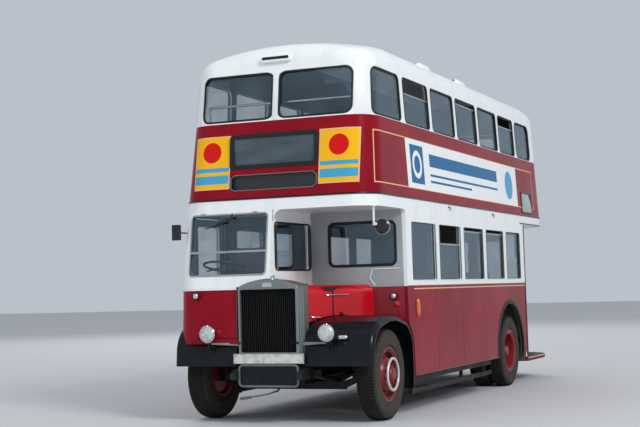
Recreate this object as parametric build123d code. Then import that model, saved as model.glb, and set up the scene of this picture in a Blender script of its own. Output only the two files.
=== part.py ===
"""A half-cab double decker bus with an open rear platform, built as separate real pieces.

Millimetres. The front faces -Y, the nearside (the platform side) is +X, and the ground is z = 0.
Stations are distances behind the front axle. The origin lies on the ground under the middle of the bus.
"""
from build123d import *
import math
import os

os.makedirs("parts", exist_ok=True)

# Overall sizes
FRONT_OVERHANG = 800.0
WHEELBASE = 4978.0
REAR_OVERHANG = 2452.0
LENGTH = FRONT_OVERHANG + WHEELBASE + REAR_OVERHANG
HALF_WIDTH = 1219.0
FRONT_AXLE = FRONT_OVERHANG - LENGTH / 2
REAR_AXLE = FRONT_AXLE + WHEELBASE
HINGE_R = 11.0
HINGE_CLEAR = 0.5
BODY_REAR = LENGTH / 2 - 2 * HINGE_R - HINGE_CLEAR

# Heights
PLATFORM_Z = 360.0
PLATFORM_T = 60.0
SKIRT_Z = 440.0
FLOOR_Z = 700.0
FLOOR_T = 40.0
SILL_Z = FLOOR_Z + 859.0
LOWER_HEAD_Z = SILL_Z + 693.0
CANOPY_Z = LOWER_HEAD_Z + 138.0
UPPER_FLOOR_Z = CANOPY_Z + 110.0
UPPER_FLOOR_T = 80.0
WAIST_Z = UPPER_FLOOR_Z + 30.0
UPPER_SILL_Z = WAIST_Z + 907.0
UPPER_HEAD_Z = UPPER_SILL_Z + 542.0
EAVES_Z = UPPER_HEAD_Z + 41.0
ROOF_RISE = 390.0
HEIGHT = EAVES_Z + ROOF_RISE

# Walls, plates and clearances
WALL = 45.0
ROOF_T = 30.0
GLASS_T = 6.0
SHEET = 6.0
GAP = 0.3
DOOR_GAP = 8.0

# Stations behind the front axle
BULKHEAD = 540.0
PLATFORM_START = WHEELBASE + 922.0
FRONT_PILLAR = BULKHEAD + 182.0
REAR_PILLAR = PLATFORM_START - 80.0

# Each deck's outside tapers between two levels: height, half width, station of the front face
LOWER_LEVELS = ((300.0, HALF_WIDTH, -680.0), (WAIST_Z, 1204.0, -520.0))
UPPER_LEVELS = ((WAIST_Z, 1204.0, -520.0), (HEIGHT + 60.0, 1093.0, -265.0))
FRONT_CORNER_R = 340.0
REAR_CORNER_R = 520.0

# The roof's camber across the bus, and its fall at both ends
CAMBER_R = 4000.0
DOME_R = 3400.0
DOME_RUN = 900.0
DOME_OVERRUN = 400.0
EAVES_R = 240.0

# Side windows: first window's front edge, bay, width, sill, head and corner radius
BAYS = 5
END_POSTS = 175.0
BAY = (PLATFORM_START - BULKHEAD - END_POSTS) / BAYS
LOWER_WINDOWS = {"start": BULKHEAD + 222.0, "width": 838.0, "sill": SILL_Z, "head": LOWER_HEAD_Z, "r": 35.0}
UPPER_WINDOWS = {"start": BULKHEAD + 252.0, "width": 915.0, "sill": UPPER_SILL_Z, "head": UPPER_HEAD_Z,
                 "r": 55.0}
LAST_LOWER_WIDTH = 730.0
LAST_UPPER_WIDTH = 820.0
# How far each window's drop light is open, from the front, as a share of its height
LOWER_OPEN = {"nearside": (0.0, 0.35, 0.08, 0.08, 0.0), "offside": (0.0, 0.0, 0.0, 0.0, 0.0)}
UPPER_OPEN = {"nearside": (0.35, 0.0, 0.12, 0.0, 0.28), "offside": (0.0, 0.0, 0.0, 0.0, 0.0)}
QUARTER = {"start": -330.0, "end": 655.0, "r": 95.0}
REAR_QUARTER = {"start": PLATFORM_START - 20.0, "end": PLATFORM_START + 800.0, "r": 110.0}

# Wheels
TYRE_R = 510.0
TYRE_W = 245.0
RIM_R = 262.0
WHEEL_FRONT_FACE = 1172.0
WHEEL_REAR_FACE = 1205.0
TWIN_GAP = 40.0
ARCH_R = 690.0
KINGPIN_X = 900.0
KINGPIN_R = 20.0
AXLE_Z = TYRE_R

# Wings over the front wheels, and their outline from front to rear: run behind the axle, height above the axle
# and the radius that rounds the corner there
WING_INNER = 420.0
WING_SPLIT = 700.0
WING_FRONT_Z = 640.0
WING_REAR_Z = 300.0
WING_ROLL = 62.0
WING_OUTLINE = ((-721.0, -400.0, 0.0), (-640.0, 552.0, 350.0), (-130.0, 662.0, 700.0), (130.0, 662.0, 700.0),
                (690.0, 545.0, 380.0), (714.0, 0.0, 300.0), (669.0, -400.0, 0.0))

# Chassis
RAIL_X = 445.0
RAIL_W = 75.0
RAIL_TOP = FLOOR_Z - FLOOR_T
RAIL_BOTTOM = 500.0
DUMB_IRON_END = -700.0

# Radiator, from the front
RAD_FRONT = -713.0
RAD_DEPTH = 285.0
RAD_HALF = 372.0
RAD_BOTTOM = 700.0
RAD_SHOULDER = 1530.0
RAD_CROWN = 1605.0
GRILLE_HALF = 345.0
GRILLE_LOW = 792.0
GRILLE_HIGH = 1500.0

# Cab
CAB_NEAR_X = 0.0
CAB_FLOOR_Z = 1215.0
CAB_BOTTOM_Z = 950.0
CAB_BREAK_Z = 1530.0
CAB_LOW = ((CAB_BOTTOM_Z, 1214.6, -690.0), (CAB_BREAK_Z, 1210.7, -665.0))
CAB_HIGH = ((CAB_BREAK_Z, 1210.7, -665.0), (CANOPY_Z, 1204.9, -530.0))
CAB_CORNER_R = 300.0
CAB_WALL = 40.0
CAB_SPLIT = -350.0
COWL_X = -395.0
SCREEN_LOW = 1665.0
SCREEN_HIGH = CANOPY_Z - 28.0

nodes = {}


def station(y):
    """Y in the frame of a distance behind the front axle."""
    return FRONT_AXLE + y


def slab(x, y, z):
    """A box between three pairs of limits."""
    size = (abs(x[1] - x[0]), abs(y[1] - y[0]), abs(z[1] - z[0]))
    middle = (sum(x) / 2, sum(y) / 2, sum(z) / 2)
    return Pos(*middle) * Box(*size)


def rod(start, end, radius):
    """A round bar between two points."""
    a = Vector(*start)
    b = Vector(*end)
    return extrude(Plane(origin=a, z_dir=b - a) * Circle(radius), (b - a).length)


def side_prism(y, z, r, x):
    """A round-cornered prism across the bus, for a side window."""
    middle = (0, sum(y) / 2, sum(z) / 2)
    plane = Plane(origin=middle, x_dir=(0, 1, 0), z_dir=(1, 0, 0))
    outline = plane.offset(x[0]) * RectangleRounded(y[1] - y[0], z[1] - z[0], r)
    return extrude(outline, x[1] - x[0])


def end_prism(x, z, r, y):
    """A round-cornered prism along the bus, for a front or rear window."""
    middle = (sum(x) / 2, 0, sum(z) / 2)
    plane = Plane(origin=middle, x_dir=(1, 0, 0), z_dir=(0, -1, 0))
    outline = plane.offset(-y[1]) * RectangleRounded(x[1] - x[0], z[1] - z[0], r)
    return extrude(outline, y[1] - y[0])


def axle_drum(x, radius, y):
    """A cylinder across the bus round an axle."""
    plane = Plane(origin=(x[0], y, AXLE_Z), z_dir=(1, 0, 0))
    return extrude(plane * Circle(radius), x[1] - x[0])


def mirrored(shape):
    """The same piece on the other side of the bus."""
    return mirror(shape, Plane.YZ)


def level_block(levels, front_r, rear_y, rear_r, inset=0.0):
    """A block with flat sides that taper between two levels and round corners, moved inwards by inset."""
    (z0, half0, front0), (z1, half1, front1) = levels
    across = make_face(Polyline((inset - half0, z0), (half0 - inset, z0), (half1 - inset, z1),
                                (inset - half1, z1), close=True))
    along = make_face(Polyline((station(front0) + inset, z0), (rear_y, z0), (rear_y, z1),
                               (station(front1) + inset, z1), close=True))
    across = extrude(Plane(origin=(0, 6000, 0), x_dir=(1, 0, 0), z_dir=(0, -1, 0)) * across, 12000)
    along = extrude(Plane(origin=(-2000, 0, 0), x_dir=(0, 1, 0), z_dir=(1, 0, 0)) * along, 4000)
    block = across & along
    uprights = block.edges().filter_by(lambda e: abs(e.tangent_at(0.5).Z) > 0.9).sort_by(Axis.Y)
    block = fillet(uprights[:2], front_r - inset)
    if rear_r > inset:
        uprights = block.edges().filter_by(lambda e: abs(e.tangent_at(0.5).Z) > 0.9).sort_by(Axis.Y)
        block = fillet(uprights[-2:], rear_r - inset)
    return block


def body_block(levels, inset=0.0):
    """A deck's outside, moved inwards by inset."""
    return level_block(levels, FRONT_CORNER_R, BODY_REAR - inset, REAR_CORNER_R, inset)


def roof_barrel(inset):
    """The round-backed solid whose top is the roof's camber and its fall at both ends."""
    top = HEIGHT - inset
    centre = HEIGHT - CAMBER_R
    radius = DOME_R - inset
    crown_front = station(UPPER_LEVELS[1][2])
    ends = (crown_front - DOME_OVERRUN, BODY_REAR + DOME_OVERRUN)
    flat = (crown_front + DOME_RUN, BODY_REAR - DOME_RUN)

    def fall(run):
        return radius - math.sqrt(radius ** 2 - run ** 2)

    run = DOME_RUN + DOME_OVERRUN
    low = top - fall(run)
    middle = top - fall(run / 2)
    profile = make_face([
        Line((0, ends[0], centre), (0, ends[0], low)),
        ThreePointArc((0, ends[0], low), (0, ends[0] + run / 2, middle), (0, flat[0], top)),
        Line((0, flat[0], top), (0, flat[1], top)),
        ThreePointArc((0, flat[1], top), (0, ends[1] - run / 2, middle), (0, ends[1], low)),
        Line((0, ends[1], low), (0, ends[1], centre)),
        Line((0, ends[1], centre), (0, ends[0], centre)),
    ])
    return revolve(profile, Axis((0, 0, centre), (0, 1, 0)), 360)


def upper_block(inset=0.0):
    """The upper deck's outside with its cambered roof, moved inwards by inset."""
    block = body_block(UPPER_LEVELS, inset) & roof_barrel(inset)
    rim = [e for e in block.edges() if e.center().Z > EAVES_Z + 60 and e.bounding_box().size.Z < 150]
    return fillet(rim, EAVES_R - inset)


def region(solid, x=(-3000, 3000), y=(-6000, 6000), z=(0, 6000)):
    """The part of a solid between limits."""
    return solid & slab(x, y, z)


def side_windows(table, count, opened, last=None):
    """Rows of one side's windows: front edge, rear edge, sill, head, radius, share open."""
    rows = []
    for k in range(count):
        start = station(table["start"] + k * BAY)
        width = last if last and k == count - 1 else table["width"]
        rows.append((start, start + width, table["sill"], table["head"], table["r"], opened[k]))
    return rows


KNUCKLE_GAP = 0.4


def knuckles(start, end, count):
    """A hinge's barrel in equal knuckles: those of the fixed side, and those of the moving side."""
    a = Vector(*start)
    step = (Vector(*end) - a) / count
    fixed = []
    moving = []
    for k in range(count):
        low = a + step * k + step.normalized() * KNUCKLE_GAP / 2
        high = a + step * (k + 1) - step.normalized() * KNUCKLE_GAP / 2
        (moving if k % 2 else fixed).append(rod(tuple(low), tuple(high), HINGE_R))
    return fixed, moving


def wing_prism(x, out=0.0):
    """A block across the bus with the wings' outline, moved outwards by out."""
    outline = make_face(Polyline([(FRONT_AXLE + run, AXLE_Z + rise) for run, rise, r in WING_OUTLINE],
                                 close=True))
    for run, rise, r in WING_OUTLINE:
        if r:
            corner = Vector(FRONT_AXLE + run, AXLE_Z + rise, 0)
            outline = fillet([min(outline.vertices(), key=lambda v: (Vector(*v) - corner).length)], r)
    if out:
        outline = offset(outline, out, kind=Kind.INTERSECTION)
    plane = Plane(origin=(x[0], 0, 0), x_dir=(0, 1, 0), z_dir=(1, 0, 0))
    return extrude(plane * outline, x[1] - x[0])


# The two decks' shells, from which the panels are cut
upper_outer = upper_block()
upper_inner = upper_block(WALL)
roof_inner = upper_block(ROOF_T)
lower_outer = body_block(LOWER_LEVELS)
lower_inner = body_block(LOWER_LEVELS, WALL)
upper_wall = region(upper_outer, z=(WAIST_Z, EAVES_Z)) - upper_inner
lower_wall = lower_outer - lower_inner
SIDES = {"nearside": 1, "offside": -1}
FAR = 1400.0


def half(side, low=0.0, high=FAR):
    """X limits on one side of the bus."""
    return (low, high) if side > 0 else (-high, -low)


# Upper deck walls
upper_glass = []
GLASS_DEPTH = 18.0
upper_glass_layer = [body_block(UPPER_LEVELS, d) for d in (GLASS_DEPTH, GLASS_DEPTH + GLASS_T)]
lower_glass_layer = [body_block(LOWER_LEVELS, d) for d in (GLASS_DEPTH, GLASS_DEPTH + GLASS_T)]


def pane_in(layer, prism, z=(0, 6000)):
    """The pane that a prism cuts out of a layer, given as its outer and inner block."""
    return (region(prism, z=z) & layer[0]) - layer[1]


def glaze(layer, prism_maker, rows, x):
    """Cutters for a wall and the panes that stand in them."""
    cutters = []
    panes = []
    for y0, y1, z0, z1, r, opened in rows:
        cutters.append(prism_maker((y0, y1), (z0, z1), r, x))
        top = z1 - opened * (z1 - z0)
        pane = prism_maker((y0 + GAP, y1 - GAP), (z0 + GAP, z1 - GAP), r - GAP, x)
        panes.append(pane_in(layer, pane, (z0, top)))
    return cutters, panes


for name, side in SIDES.items():
    rows = side_windows(UPPER_WINDOWS, BAYS, UPPER_OPEN[name], LAST_UPPER_WIDTH)
    cutters, panes = glaze(upper_glass_layer, side_prism, rows, half(side, 600))
    wall = region(upper_wall, half(side), (station(FRONT_PILLAR), station(REAR_PILLAR)))
    for cutter in cutters:
        wall = wall - cutter
    nodes["upper_side_" + name] = wall
    upper_glass += panes

FRONT_WINDOWS = {"inner": 28.0, "outer": 938.0, "sill": UPPER_SILL_Z + 6.0, "head": UPPER_HEAD_Z + 3.0,
                 "r": 70.0}
BLINDS = {"upper": (543.0, WAIST_Z + 357.0, WAIST_Z + 732.0), "lower": (543.0, WAIST_Z + 95.0, WAIST_Z + 278.0)}
front = region(upper_wall, y=(-6000, station(FRONT_PILLAR)))
rear = region(upper_wall, y=(station(REAR_PILLAR), 6000))
for name, side in SIDES.items():
    quarter = [(station(QUARTER["start"]), station(QUARTER["end"]), UPPER_SILL_Z, UPPER_HEAD_Z, QUARTER["r"],
                0)]
    cutters, panes = glaze(upper_glass_layer, side_prism, quarter, half(side, 600))
    front = front - cutters[0]
    upper_glass += panes
    pair = (FRONT_WINDOWS["inner"], FRONT_WINDOWS["outer"])
    across = pair if side > 0 else (-pair[1], -pair[0])
    window = [across + (FRONT_WINDOWS["sill"], FRONT_WINDOWS["head"], FRONT_WINDOWS["r"], 0)]
    cutters, panes = glaze(upper_glass_layer, end_prism, window, (station(-700), station(-60)))
    front = front - cutters[0]
    upper_glass += panes
    quarter = [(station(REAR_QUARTER["start"]), station(REAR_QUARTER["end"]), UPPER_SILL_Z, UPPER_HEAD_Z,
                REAR_QUARTER["r"], 0)]
    cutters, panes = glaze(upper_glass_layer, side_prism, quarter, half(side, 600))
    rear = rear - cutters[0]
    upper_glass += panes
for half_width, low, high in BLINDS.values():
    front = front - end_prism((-half_width, half_width), (low, high), 15, (station(-700), station(-100)))

# The emergency door in the rear of the upper deck, with its own window
ESCAPE = {"half": 450.0, "low": WAIST_Z + 370.0, "high": UPPER_HEAD_Z + 6.0, "r": 60.0}
ESCAPE_WINDOW = {"half": 370.0, "low": UPPER_SILL_Z, "high": ESCAPE["high"] - 60.0, "r": 50.0}
rear_wall_y = (BODY_REAR - 200, BODY_REAR + 100)
escape_zone = end_prism((-ESCAPE["half"], ESCAPE["half"]), (ESCAPE["low"], ESCAPE["high"]), ESCAPE["r"],
                        rear_wall_y)
escape_panel = end_prism((-ESCAPE["half"] + DOOR_GAP, ESCAPE["half"] - DOOR_GAP),
                         (ESCAPE["low"] + DOOR_GAP,
                          ESCAPE["high"] - DOOR_GAP), ESCAPE["r"] - DOOR_GAP, rear_wall_y)
escape_hole = end_prism((-ESCAPE_WINDOW["half"], ESCAPE_WINDOW["half"]),
                        (ESCAPE_WINDOW["low"], ESCAPE_WINDOW["high"]), ESCAPE_WINDOW["r"], rear_wall_y)
escape_pane = end_prism((-ESCAPE_WINDOW["half"] + GAP, ESCAPE_WINDOW["half"] - GAP),
                        (ESCAPE_WINDOW["low"] + GAP, ESCAPE_WINDOW["high"] - GAP), ESCAPE_WINDOW["r"] - GAP,
                        rear_wall_y)
ESCAPE_HINGES = (ESCAPE["low"] + 120.0, ESCAPE["high"] - 205.0)
ESCAPE_AXIS_Y = BODY_REAR + HINGE_R + HINGE_CLEAR
HINGE_LENGTH = 150.0
LEAF_W = 50.0
escape_door = (rear & escape_panel) - escape_hole
escape_frame = rear - escape_zone
for z in ESCAPE_HINGES:
    axis_x = -ESCAPE["half"]
    fixed, moving = knuckles((axis_x, ESCAPE_AXIS_Y, z), (axis_x, ESCAPE_AXIS_Y, z + HINGE_LENGTH), 3)
    for k in range(3):
        low = z + k * HINGE_LENGTH / 3 + KNUCKLE_GAP / 2
        high = low + HINGE_LENGTH / 3 - KNUCKLE_GAP
        if k % 2:
            escape_door = escape_door + slab((axis_x + HINGE_CLEAR, axis_x + LEAF_W),
                                             (BODY_REAR + HINGE_CLEAR, BODY_REAR + 5), (low, high))
            escape_door = escape_door + slab((axis_x + DOOR_GAP + 2, axis_x + LEAF_W),
                                             (BODY_REAR - 5, BODY_REAR + 5), (low, high))
        else:
            escape_frame = escape_frame + slab((axis_x - LEAF_W, axis_x), (BODY_REAR - 5, BODY_REAR + 5),
                                               (low, high))
    for piece in fixed:
        escape_frame = escape_frame + piece
    for piece in moving:
        escape_door = escape_door + piece
nodes["emergency_door"] = escape_door
nodes["emergency_door_glass"] = pane_in(upper_glass_layer, escape_pane)
nodes["upper_rear"] = escape_frame
nodes["upper_front"] = front

# Roof, with a scoop in its front and two low ventilators along each side
SCOOP = {"half": 190.0, "low": HEIGHT - 315.0, "high": HEIGHT - 235.0, "r": 32.0, "front": -352.0, "lip": 22.0}
ROOF_VENTS = {"x": 930.0, "z": HEIGHT - 140.0, "r": 75.0, "half": 110.0, "stations": (2100.0, 3650.0)}
scoop_y = (station(SCOOP["front"]), station(SCOOP["front"]) + 200)
scoop = end_prism((-SCOOP["half"], SCOOP["half"]), (SCOOP["low"], SCOOP["high"]), SCOOP["r"], scoop_y)
scoop = fillet(scoop.faces().sort_by(Axis.Y)[0].edges(), 18)
roof = region(upper_outer, z=(EAVES_Z, 6000)) + scoop
for side in SIDES.values():
    for y in ROOF_VENTS["stations"]:
        ends = [(side * ROOF_VENTS["x"], station(y) + k * ROOF_VENTS["half"], ROOF_VENTS["z"]) for k in (-1, 1)]
        roof = roof + rod(ends[0], ends[1], ROOF_VENTS["r"])
        for end in ends:
            roof = roof + Pos(*end) * Sphere(ROOF_VENTS["r"])
mouth_y = (scoop_y[0] - 20, scoop_y[0] + 36)
mouth = end_prism((SCOOP["lip"] - SCOOP["half"], SCOOP["half"] - SCOOP["lip"]),
                  (SCOOP["low"] + SCOOP["lip"] + 10, SCOOP["high"] - SCOOP["lip"] / 2), 14, mouth_y)
nodes["roof"] = roof - roof_inner - mouth

# Lower deck side walls
lower_glass = []
arch = axle_drum((-FAR, FAR), ARCH_R, REAR_AXLE)
wing_hollow = wing_prism((-FAR, FAR), GAP)
# The rounded corner between the nearside front pillar and the rim over the bonnet
PILLAR_CURVE = 60.0
canopy_corner = region(lower_wall, (900, FAR), (station(BULKHEAD) - PILLAR_CURVE, station(BULKHEAD) + 1),
                       (CANOPY_Z - PILLAR_CURVE, CANOPY_Z))
canopy_corner = canopy_corner - rod((800, station(BULKHEAD) - PILLAR_CURVE, CANOPY_Z - PILLAR_CURVE),
                                    (FAR, station(BULKHEAD) - PILLAR_CURVE,
                                     CANOPY_Z - PILLAR_CURVE), PILLAR_CURVE)
for name, side in SIDES.items():
    rows = side_windows(LOWER_WINDOWS, BAYS, LOWER_OPEN[name], LAST_LOWER_WIDTH)
    cutters, panes = glaze(lower_glass_layer, side_prism, rows, half(side, 600))
    wall = region(lower_wall, half(side, 900), (station(BULKHEAD), station(PLATFORM_START)), (SKIRT_Z, WAIST_Z))
    for cutter in cutters + [arch, wing_hollow]:
        wall = wall - cutter
    if side > 0:
        wall = wall + canopy_corner
    nodes["lower_side_" + name] = wall
    lower_glass += panes

# Rear of the lower deck: offside corner and rear panel, leaving the platform's corner open
REAR_PANEL_END = 520.0
REAR_WINDOW = {"x": (-250.0, 420.0), "low": SILL_Z, "high": LOWER_HEAD_Z - 52.0, "r": 60.0}
rear_zone = (station(PLATFORM_START), BODY_REAR + 100)
rear_lower = region(lower_wall, (-FAR, REAR_PANEL_END), rear_zone, (PLATFORM_Z - PLATFORM_T, CANOPY_Z))
rear_lower = rear_lower - slab((0, FAR), (station(PLATFORM_START) - 10, BODY_REAR - REAR_CORNER_R), (0, 3000))
rear_hole = end_prism(REAR_WINDOW["x"], (REAR_WINDOW["low"], REAR_WINDOW["high"]), REAR_WINDOW["r"],
                      rear_wall_y)
rear_pane = end_prism((REAR_WINDOW["x"][0] + GAP, REAR_WINDOW["x"][1] - GAP),
                      (REAR_WINDOW["low"] + GAP,
                       REAR_WINDOW["high"] - GAP), REAR_WINDOW["r"] - GAP, rear_wall_y)
nodes["lower_rear"] = rear_lower - rear_hole
lower_glass.append(pane_in(lower_glass_layer, rear_pane))

# The deck's rim and underside over the cab and bonnet, and over the platform
STAIR = {"edge": -430.0, "y": (PLATFORM_START, PLATFORM_START + 1420.0)}
stairwell = region(lower_inner, (-FAR, STAIR["edge"]), (station(STAIR["y"][0]), station(STAIR["y"][1])),
                   (1000, WAIST_Z))
canopies = []
for zone in ((-6000, station(BULKHEAD)), (station(PLATFORM_START), 6000)):
    rim = region(lower_wall, y=zone, z=(CANOPY_Z, WAIST_Z))
    underside = region(lower_inner, y=zone, z=(CANOPY_Z, UPPER_FLOOR_Z - UPPER_FLOOR_T))
    canopies.append(rim + (underside - stairwell))
nodes["canopies"] = canopies
upper_floor = region(lower_inner, z=(UPPER_FLOOR_Z - UPPER_FLOOR_T, UPPER_FLOOR_Z))
nodes["upper_floor"] = upper_floor - stairwell

# Bulkheads
BULKHEAD_T = 45.0
BULKHEAD_WINDOWS = ((238.0, 1070.0, LOWER_HEAD_Z - 502.0, LOWER_HEAD_Z - 2.0, 60.0),
                    (-1020.0, -240.0, LOWER_HEAD_Z - 502.0, LOWER_HEAD_Z - 2.0, 60.0))
front_zone = (station(BULKHEAD), station(BULKHEAD) + BULKHEAD_T)
deck_under = UPPER_FLOOR_Z - UPPER_FLOOR_T
bulkhead = region(lower_inner, y=front_zone, z=(SKIRT_Z + 200, deck_under)) - wing_hollow
bulkhead = bulkhead - slab((-RAIL_X, RAIL_X), front_zone, (0, RAIL_TOP))
for x0, x1, z0, z1, r in BULKHEAD_WINDOWS:
    bulkhead = bulkhead - end_prism((x0, x1), (z0, z1), r, (front_zone[0] - 10, front_zone[1] + 10))
    pane_y = station(BULKHEAD) + BULKHEAD_T / 2
    lower_glass.append(end_prism((x0 + GAP, x1 - GAP), (z0 + GAP, z1 - GAP), r - GAP,
                                 (pane_y, pane_y + GLASS_T)))
nodes["front_bulkhead"] = bulkhead

DOORWAY_HALF = 330.0
DOORWAY_TOP = LOWER_HEAD_Z + 78.0
rear_bulk_zone = (station(PLATFORM_START) - BULKHEAD_T, station(PLATFORM_START))
rear_bulkhead = region(lower_inner, y=rear_bulk_zone, z=(PLATFORM_Z - PLATFORM_T, deck_under))
rear_bulkhead = rear_bulkhead - slab((-DOORWAY_HALF, DOORWAY_HALF), rear_bulk_zone, (FLOOR_Z, DOORWAY_TOP))
rear_bulkhead = rear_bulkhead - slab((-RAIL_X, RAIL_X), rear_bulk_zone, (0, RAIL_TOP))
side_light = (480.0, 1080.0, SILL_Z, LOWER_HEAD_Z, 60.0)
cut = (rear_bulk_zone[0] - 10, rear_bulk_zone[1] + 10)
rear_bulkhead = rear_bulkhead - end_prism(side_light[:2], side_light[2:4], side_light[4], cut)
pane_y = rear_bulk_zone[0] + BULKHEAD_T / 2
lower_glass.append(end_prism((side_light[0] + GAP, side_light[1] - GAP),
                             (side_light[2] + GAP, side_light[3] - GAP),
                             side_light[4] - GAP, (pane_y, pane_y + GLASS_T)))
nodes["rear_bulkhead"] = rear_bulkhead

# Lower floor, and a box standing on it over each pair of rear wheels
BOX_INNER = 620.0
BOX_HALF = 720.0
BOX_T = 6.0
saloon = (station(BULKHEAD) + BULKHEAD_T, station(PLATFORM_START) - BULKHEAD_T)
floor = region(lower_inner, y=saloon, z=(FLOOR_Z - FLOOR_T, FLOOR_Z))
box_top = AXLE_Z + ARCH_R + 15
wheel_boxes = []
for side in SIDES.values():
    hole = slab(half(side, BOX_INNER, FAR), (REAR_AXLE - BOX_HALF, REAR_AXLE + BOX_HALF), (0, box_top))
    lining = slab(half(side, BOX_INNER - BOX_T, FAR),
                  (REAR_AXLE - BOX_HALF - BOX_T, REAR_AXLE + BOX_HALF + BOX_T), (FLOOR_Z, box_top + BOX_T))
    wheel_boxes.append((lining & lower_inner) - hole)
    floor = floor - hole - region(wing_hollow, half(side, WING_SPLIT))
nodes["lower_floor"] = floor
nodes["wheel_boxes"] = wheel_boxes

# Platform
platform = region(lower_outer, y=(station(PLATFORM_START), 6000), z=(PLATFORM_Z - PLATFORM_T, PLATFORM_Z))
nodes["rear_platform"] = platform - nodes["lower_rear"]

# Staircase: a quarter turn of winders in the offside rear corner, then a straight flight forwards
RISES = 9
RISE = (UPPER_FLOOR_Z - PLATFORM_Z) / RISES
WINDERS = 5
GOING = 215.0
TREAD_T = 30.0
NEWEL = (STAIR["edge"] - 30, station(PLATFORM_START + (RISES - 1 - WINDERS) * GOING))
NEWEL_R = 30.0
stair_room = region(body_block(LOWER_LEVELS, WALL + GAP), (-FAR, NEWEL[0]), (NEWEL[1], 6000),
                    (PLATFORM_Z, UPPER_FLOOR_Z))
stairs = Pos(NEWEL[0], NEWEL[1], (PLATFORM_Z + UPPER_FLOOR_Z - RISE) / 2) * Cylinder(
    NEWEL_R, UPPER_FLOOR_Z - RISE - PLATFORM_Z)
for k in range(WINDERS):
    top = PLATFORM_Z + (k + 1) * RISE
    a0 = math.radians(90 + 90 * k / WINDERS)
    a1 = math.radians(90 + 90 * (k + 1) / WINDERS)
    reach = 2000.0
    wedge = make_face(Polyline((NEWEL[0], NEWEL[1]),
                               (NEWEL[0] + reach * math.cos(a0), NEWEL[1] + reach * math.sin(a0)),
                               (NEWEL[0] + reach * math.cos(a1), NEWEL[1] + reach * math.sin(a1)), close=True))
    bottom = max(PLATFORM_Z, top - RISE - TREAD_T)
    stairs = stairs + (stair_room & extrude(Pos(0, 0, bottom) * wedge, top - bottom))
for k in range(WINDERS, RISES - 1):
    top = PLATFORM_Z + (k + 1) * RISE
    y1 = NEWEL[1] - (k - WINDERS) * GOING
    step = slab((-FAR, NEWEL[0]), (y1 - GOING, y1), (top - RISE - TREAD_T, top))
    stairs = stairs + (step & body_block(LOWER_LEVELS, WALL + GAP))
nodes["staircase"] = stairs

# Cab: outer sheet, floor, engine cowl and the wall beside the bonnet
radiator_outline = make_face([
    Line((-RAD_HALF, RAD_BOTTOM), (-RAD_HALF, RAD_SHOULDER)),
    ThreePointArc((-RAD_HALF, RAD_SHOULDER), (0, RAD_CROWN), (RAD_HALF, RAD_SHOULDER)),
    Line((RAD_HALF, RAD_SHOULDER), (RAD_HALF, RAD_BOTTOM)),
    Line((RAD_HALF, RAD_BOTTOM), (-RAD_HALF, RAD_BOTTOM)),
])
radiator_outline = fillet(radiator_outline.vertices().group_by(Axis.Y)[-1], 55)
xz_plane = Plane(origin=(0, station(RAD_FRONT), 0), x_dir=(1, 0, 0), z_dir=(0, -1, 0))
radiator_block = extrude(xz_plane * radiator_outline, -RAD_DEPTH)
radiator_room = extrude(Plane(origin=(0, station(RAD_FRONT) - 20, 0), x_dir=(1, 0, 0), z_dir=(0, -1, 0))
                        * offset(radiator_outline, 8, kind=Kind.INTERSECTION), -RAD_DEPTH - 60)
cab_rear = station(BULKHEAD)
high_cab = region(level_block(CAB_HIGH, CAB_CORNER_R, cab_rear, 0), (-FAR, CAB_NEAR_X))
low_cab = region(level_block(CAB_LOW, CAB_CORNER_R, cab_rear, 0), (-FAR, COWL_X))
high_room = region(level_block(CAB_HIGH, CAB_CORNER_R, cab_rear + 500, 0, CAB_WALL),
                   (-FAR, CAB_NEAR_X - CAB_WALL))
low_room = region(level_block(CAB_LOW, CAB_CORNER_R, cab_rear + 500, 0, CAB_WALL), (-FAR, COWL_X - SHEET * 2))
cab = (high_cab + low_cab) - high_room - low_room
cowl_side = (COWL_X - SHEET * 2, COWL_X)
cowl = region(high_room, (cowl_side[0], FAR), (-6000, cab_rear), (CAB_BREAK_Z, CAB_BREAK_Z + SHEET * 2))
cab_floor = region(low_room, y=(-6000, cab_rear), z=(CAB_FLOOR_Z - 30, CAB_FLOOR_Z))
cab_floor = cab_floor + region(cab, cowl_side, z=(0, CAB_BREAK_Z)) + cowl
nodes["cab_floor"] = cab_floor - radiator_room - wing_hollow
cab = cab - slab(cowl_side, (-6000, 6000), (0, CAB_BREAK_Z)) - radiator_room - wing_hollow
CAB_WINDOWS_END = ((-1035.0, -52.0, SCREEN_LOW, SCREEN_HIGH, 45.0),)
cab_glass = []
cab_layer = [level_block(CAB_HIGH, CAB_CORNER_R, cab_rear + 500, 0, d) for d in (14.0, 14.0 + GLASS_T)]
for x0, x1, z0, z1, r in CAB_WINDOWS_END:
    zone = (station(-900), station(-400))
    cab = cab - end_prism((x0, x1), (z0, z1), r, zone)
    cab_glass.append(pane_in(cab_layer, end_prism((x0 + GAP, x1 - GAP), (z0 + GAP, z1 - GAP), r - GAP, zone)))
NEAR_WINDOW = (-430.0, 455.0, 1712.0, LOWER_HEAD_Z - 2.0, 60.0)
y0, y1, z0, z1, r = NEAR_WINDOW
near_x = (CAB_NEAR_X - CAB_WALL - 10, CAB_NEAR_X + 10)
cab = cab - side_prism((station(y0), station(y1)), (z0, z1), r, near_x)
cab_glass.append(side_prism((station(y0) + GAP, station(y1) - GAP), (z0 + GAP, z1 - GAP), r - GAP,
                            (CAB_NEAR_X - 26, CAB_NEAR_X - 20)))
CAB_DOOR = {"y": (-215.0, 470.0), "z": (CAB_FLOOR_Z + 25.0, CANOPY_Z - 30.0), "r": 60.0}
CAB_DOOR_WINDOW = {"y": (-140.0, 400.0), "z": (1640.0, CANOPY_Z - 120.0), "r": 50.0}
door_x = (-FAR, -900)
door_y = (station(CAB_DOOR["y"][0]), station(CAB_DOOR["y"][1]))
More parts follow.
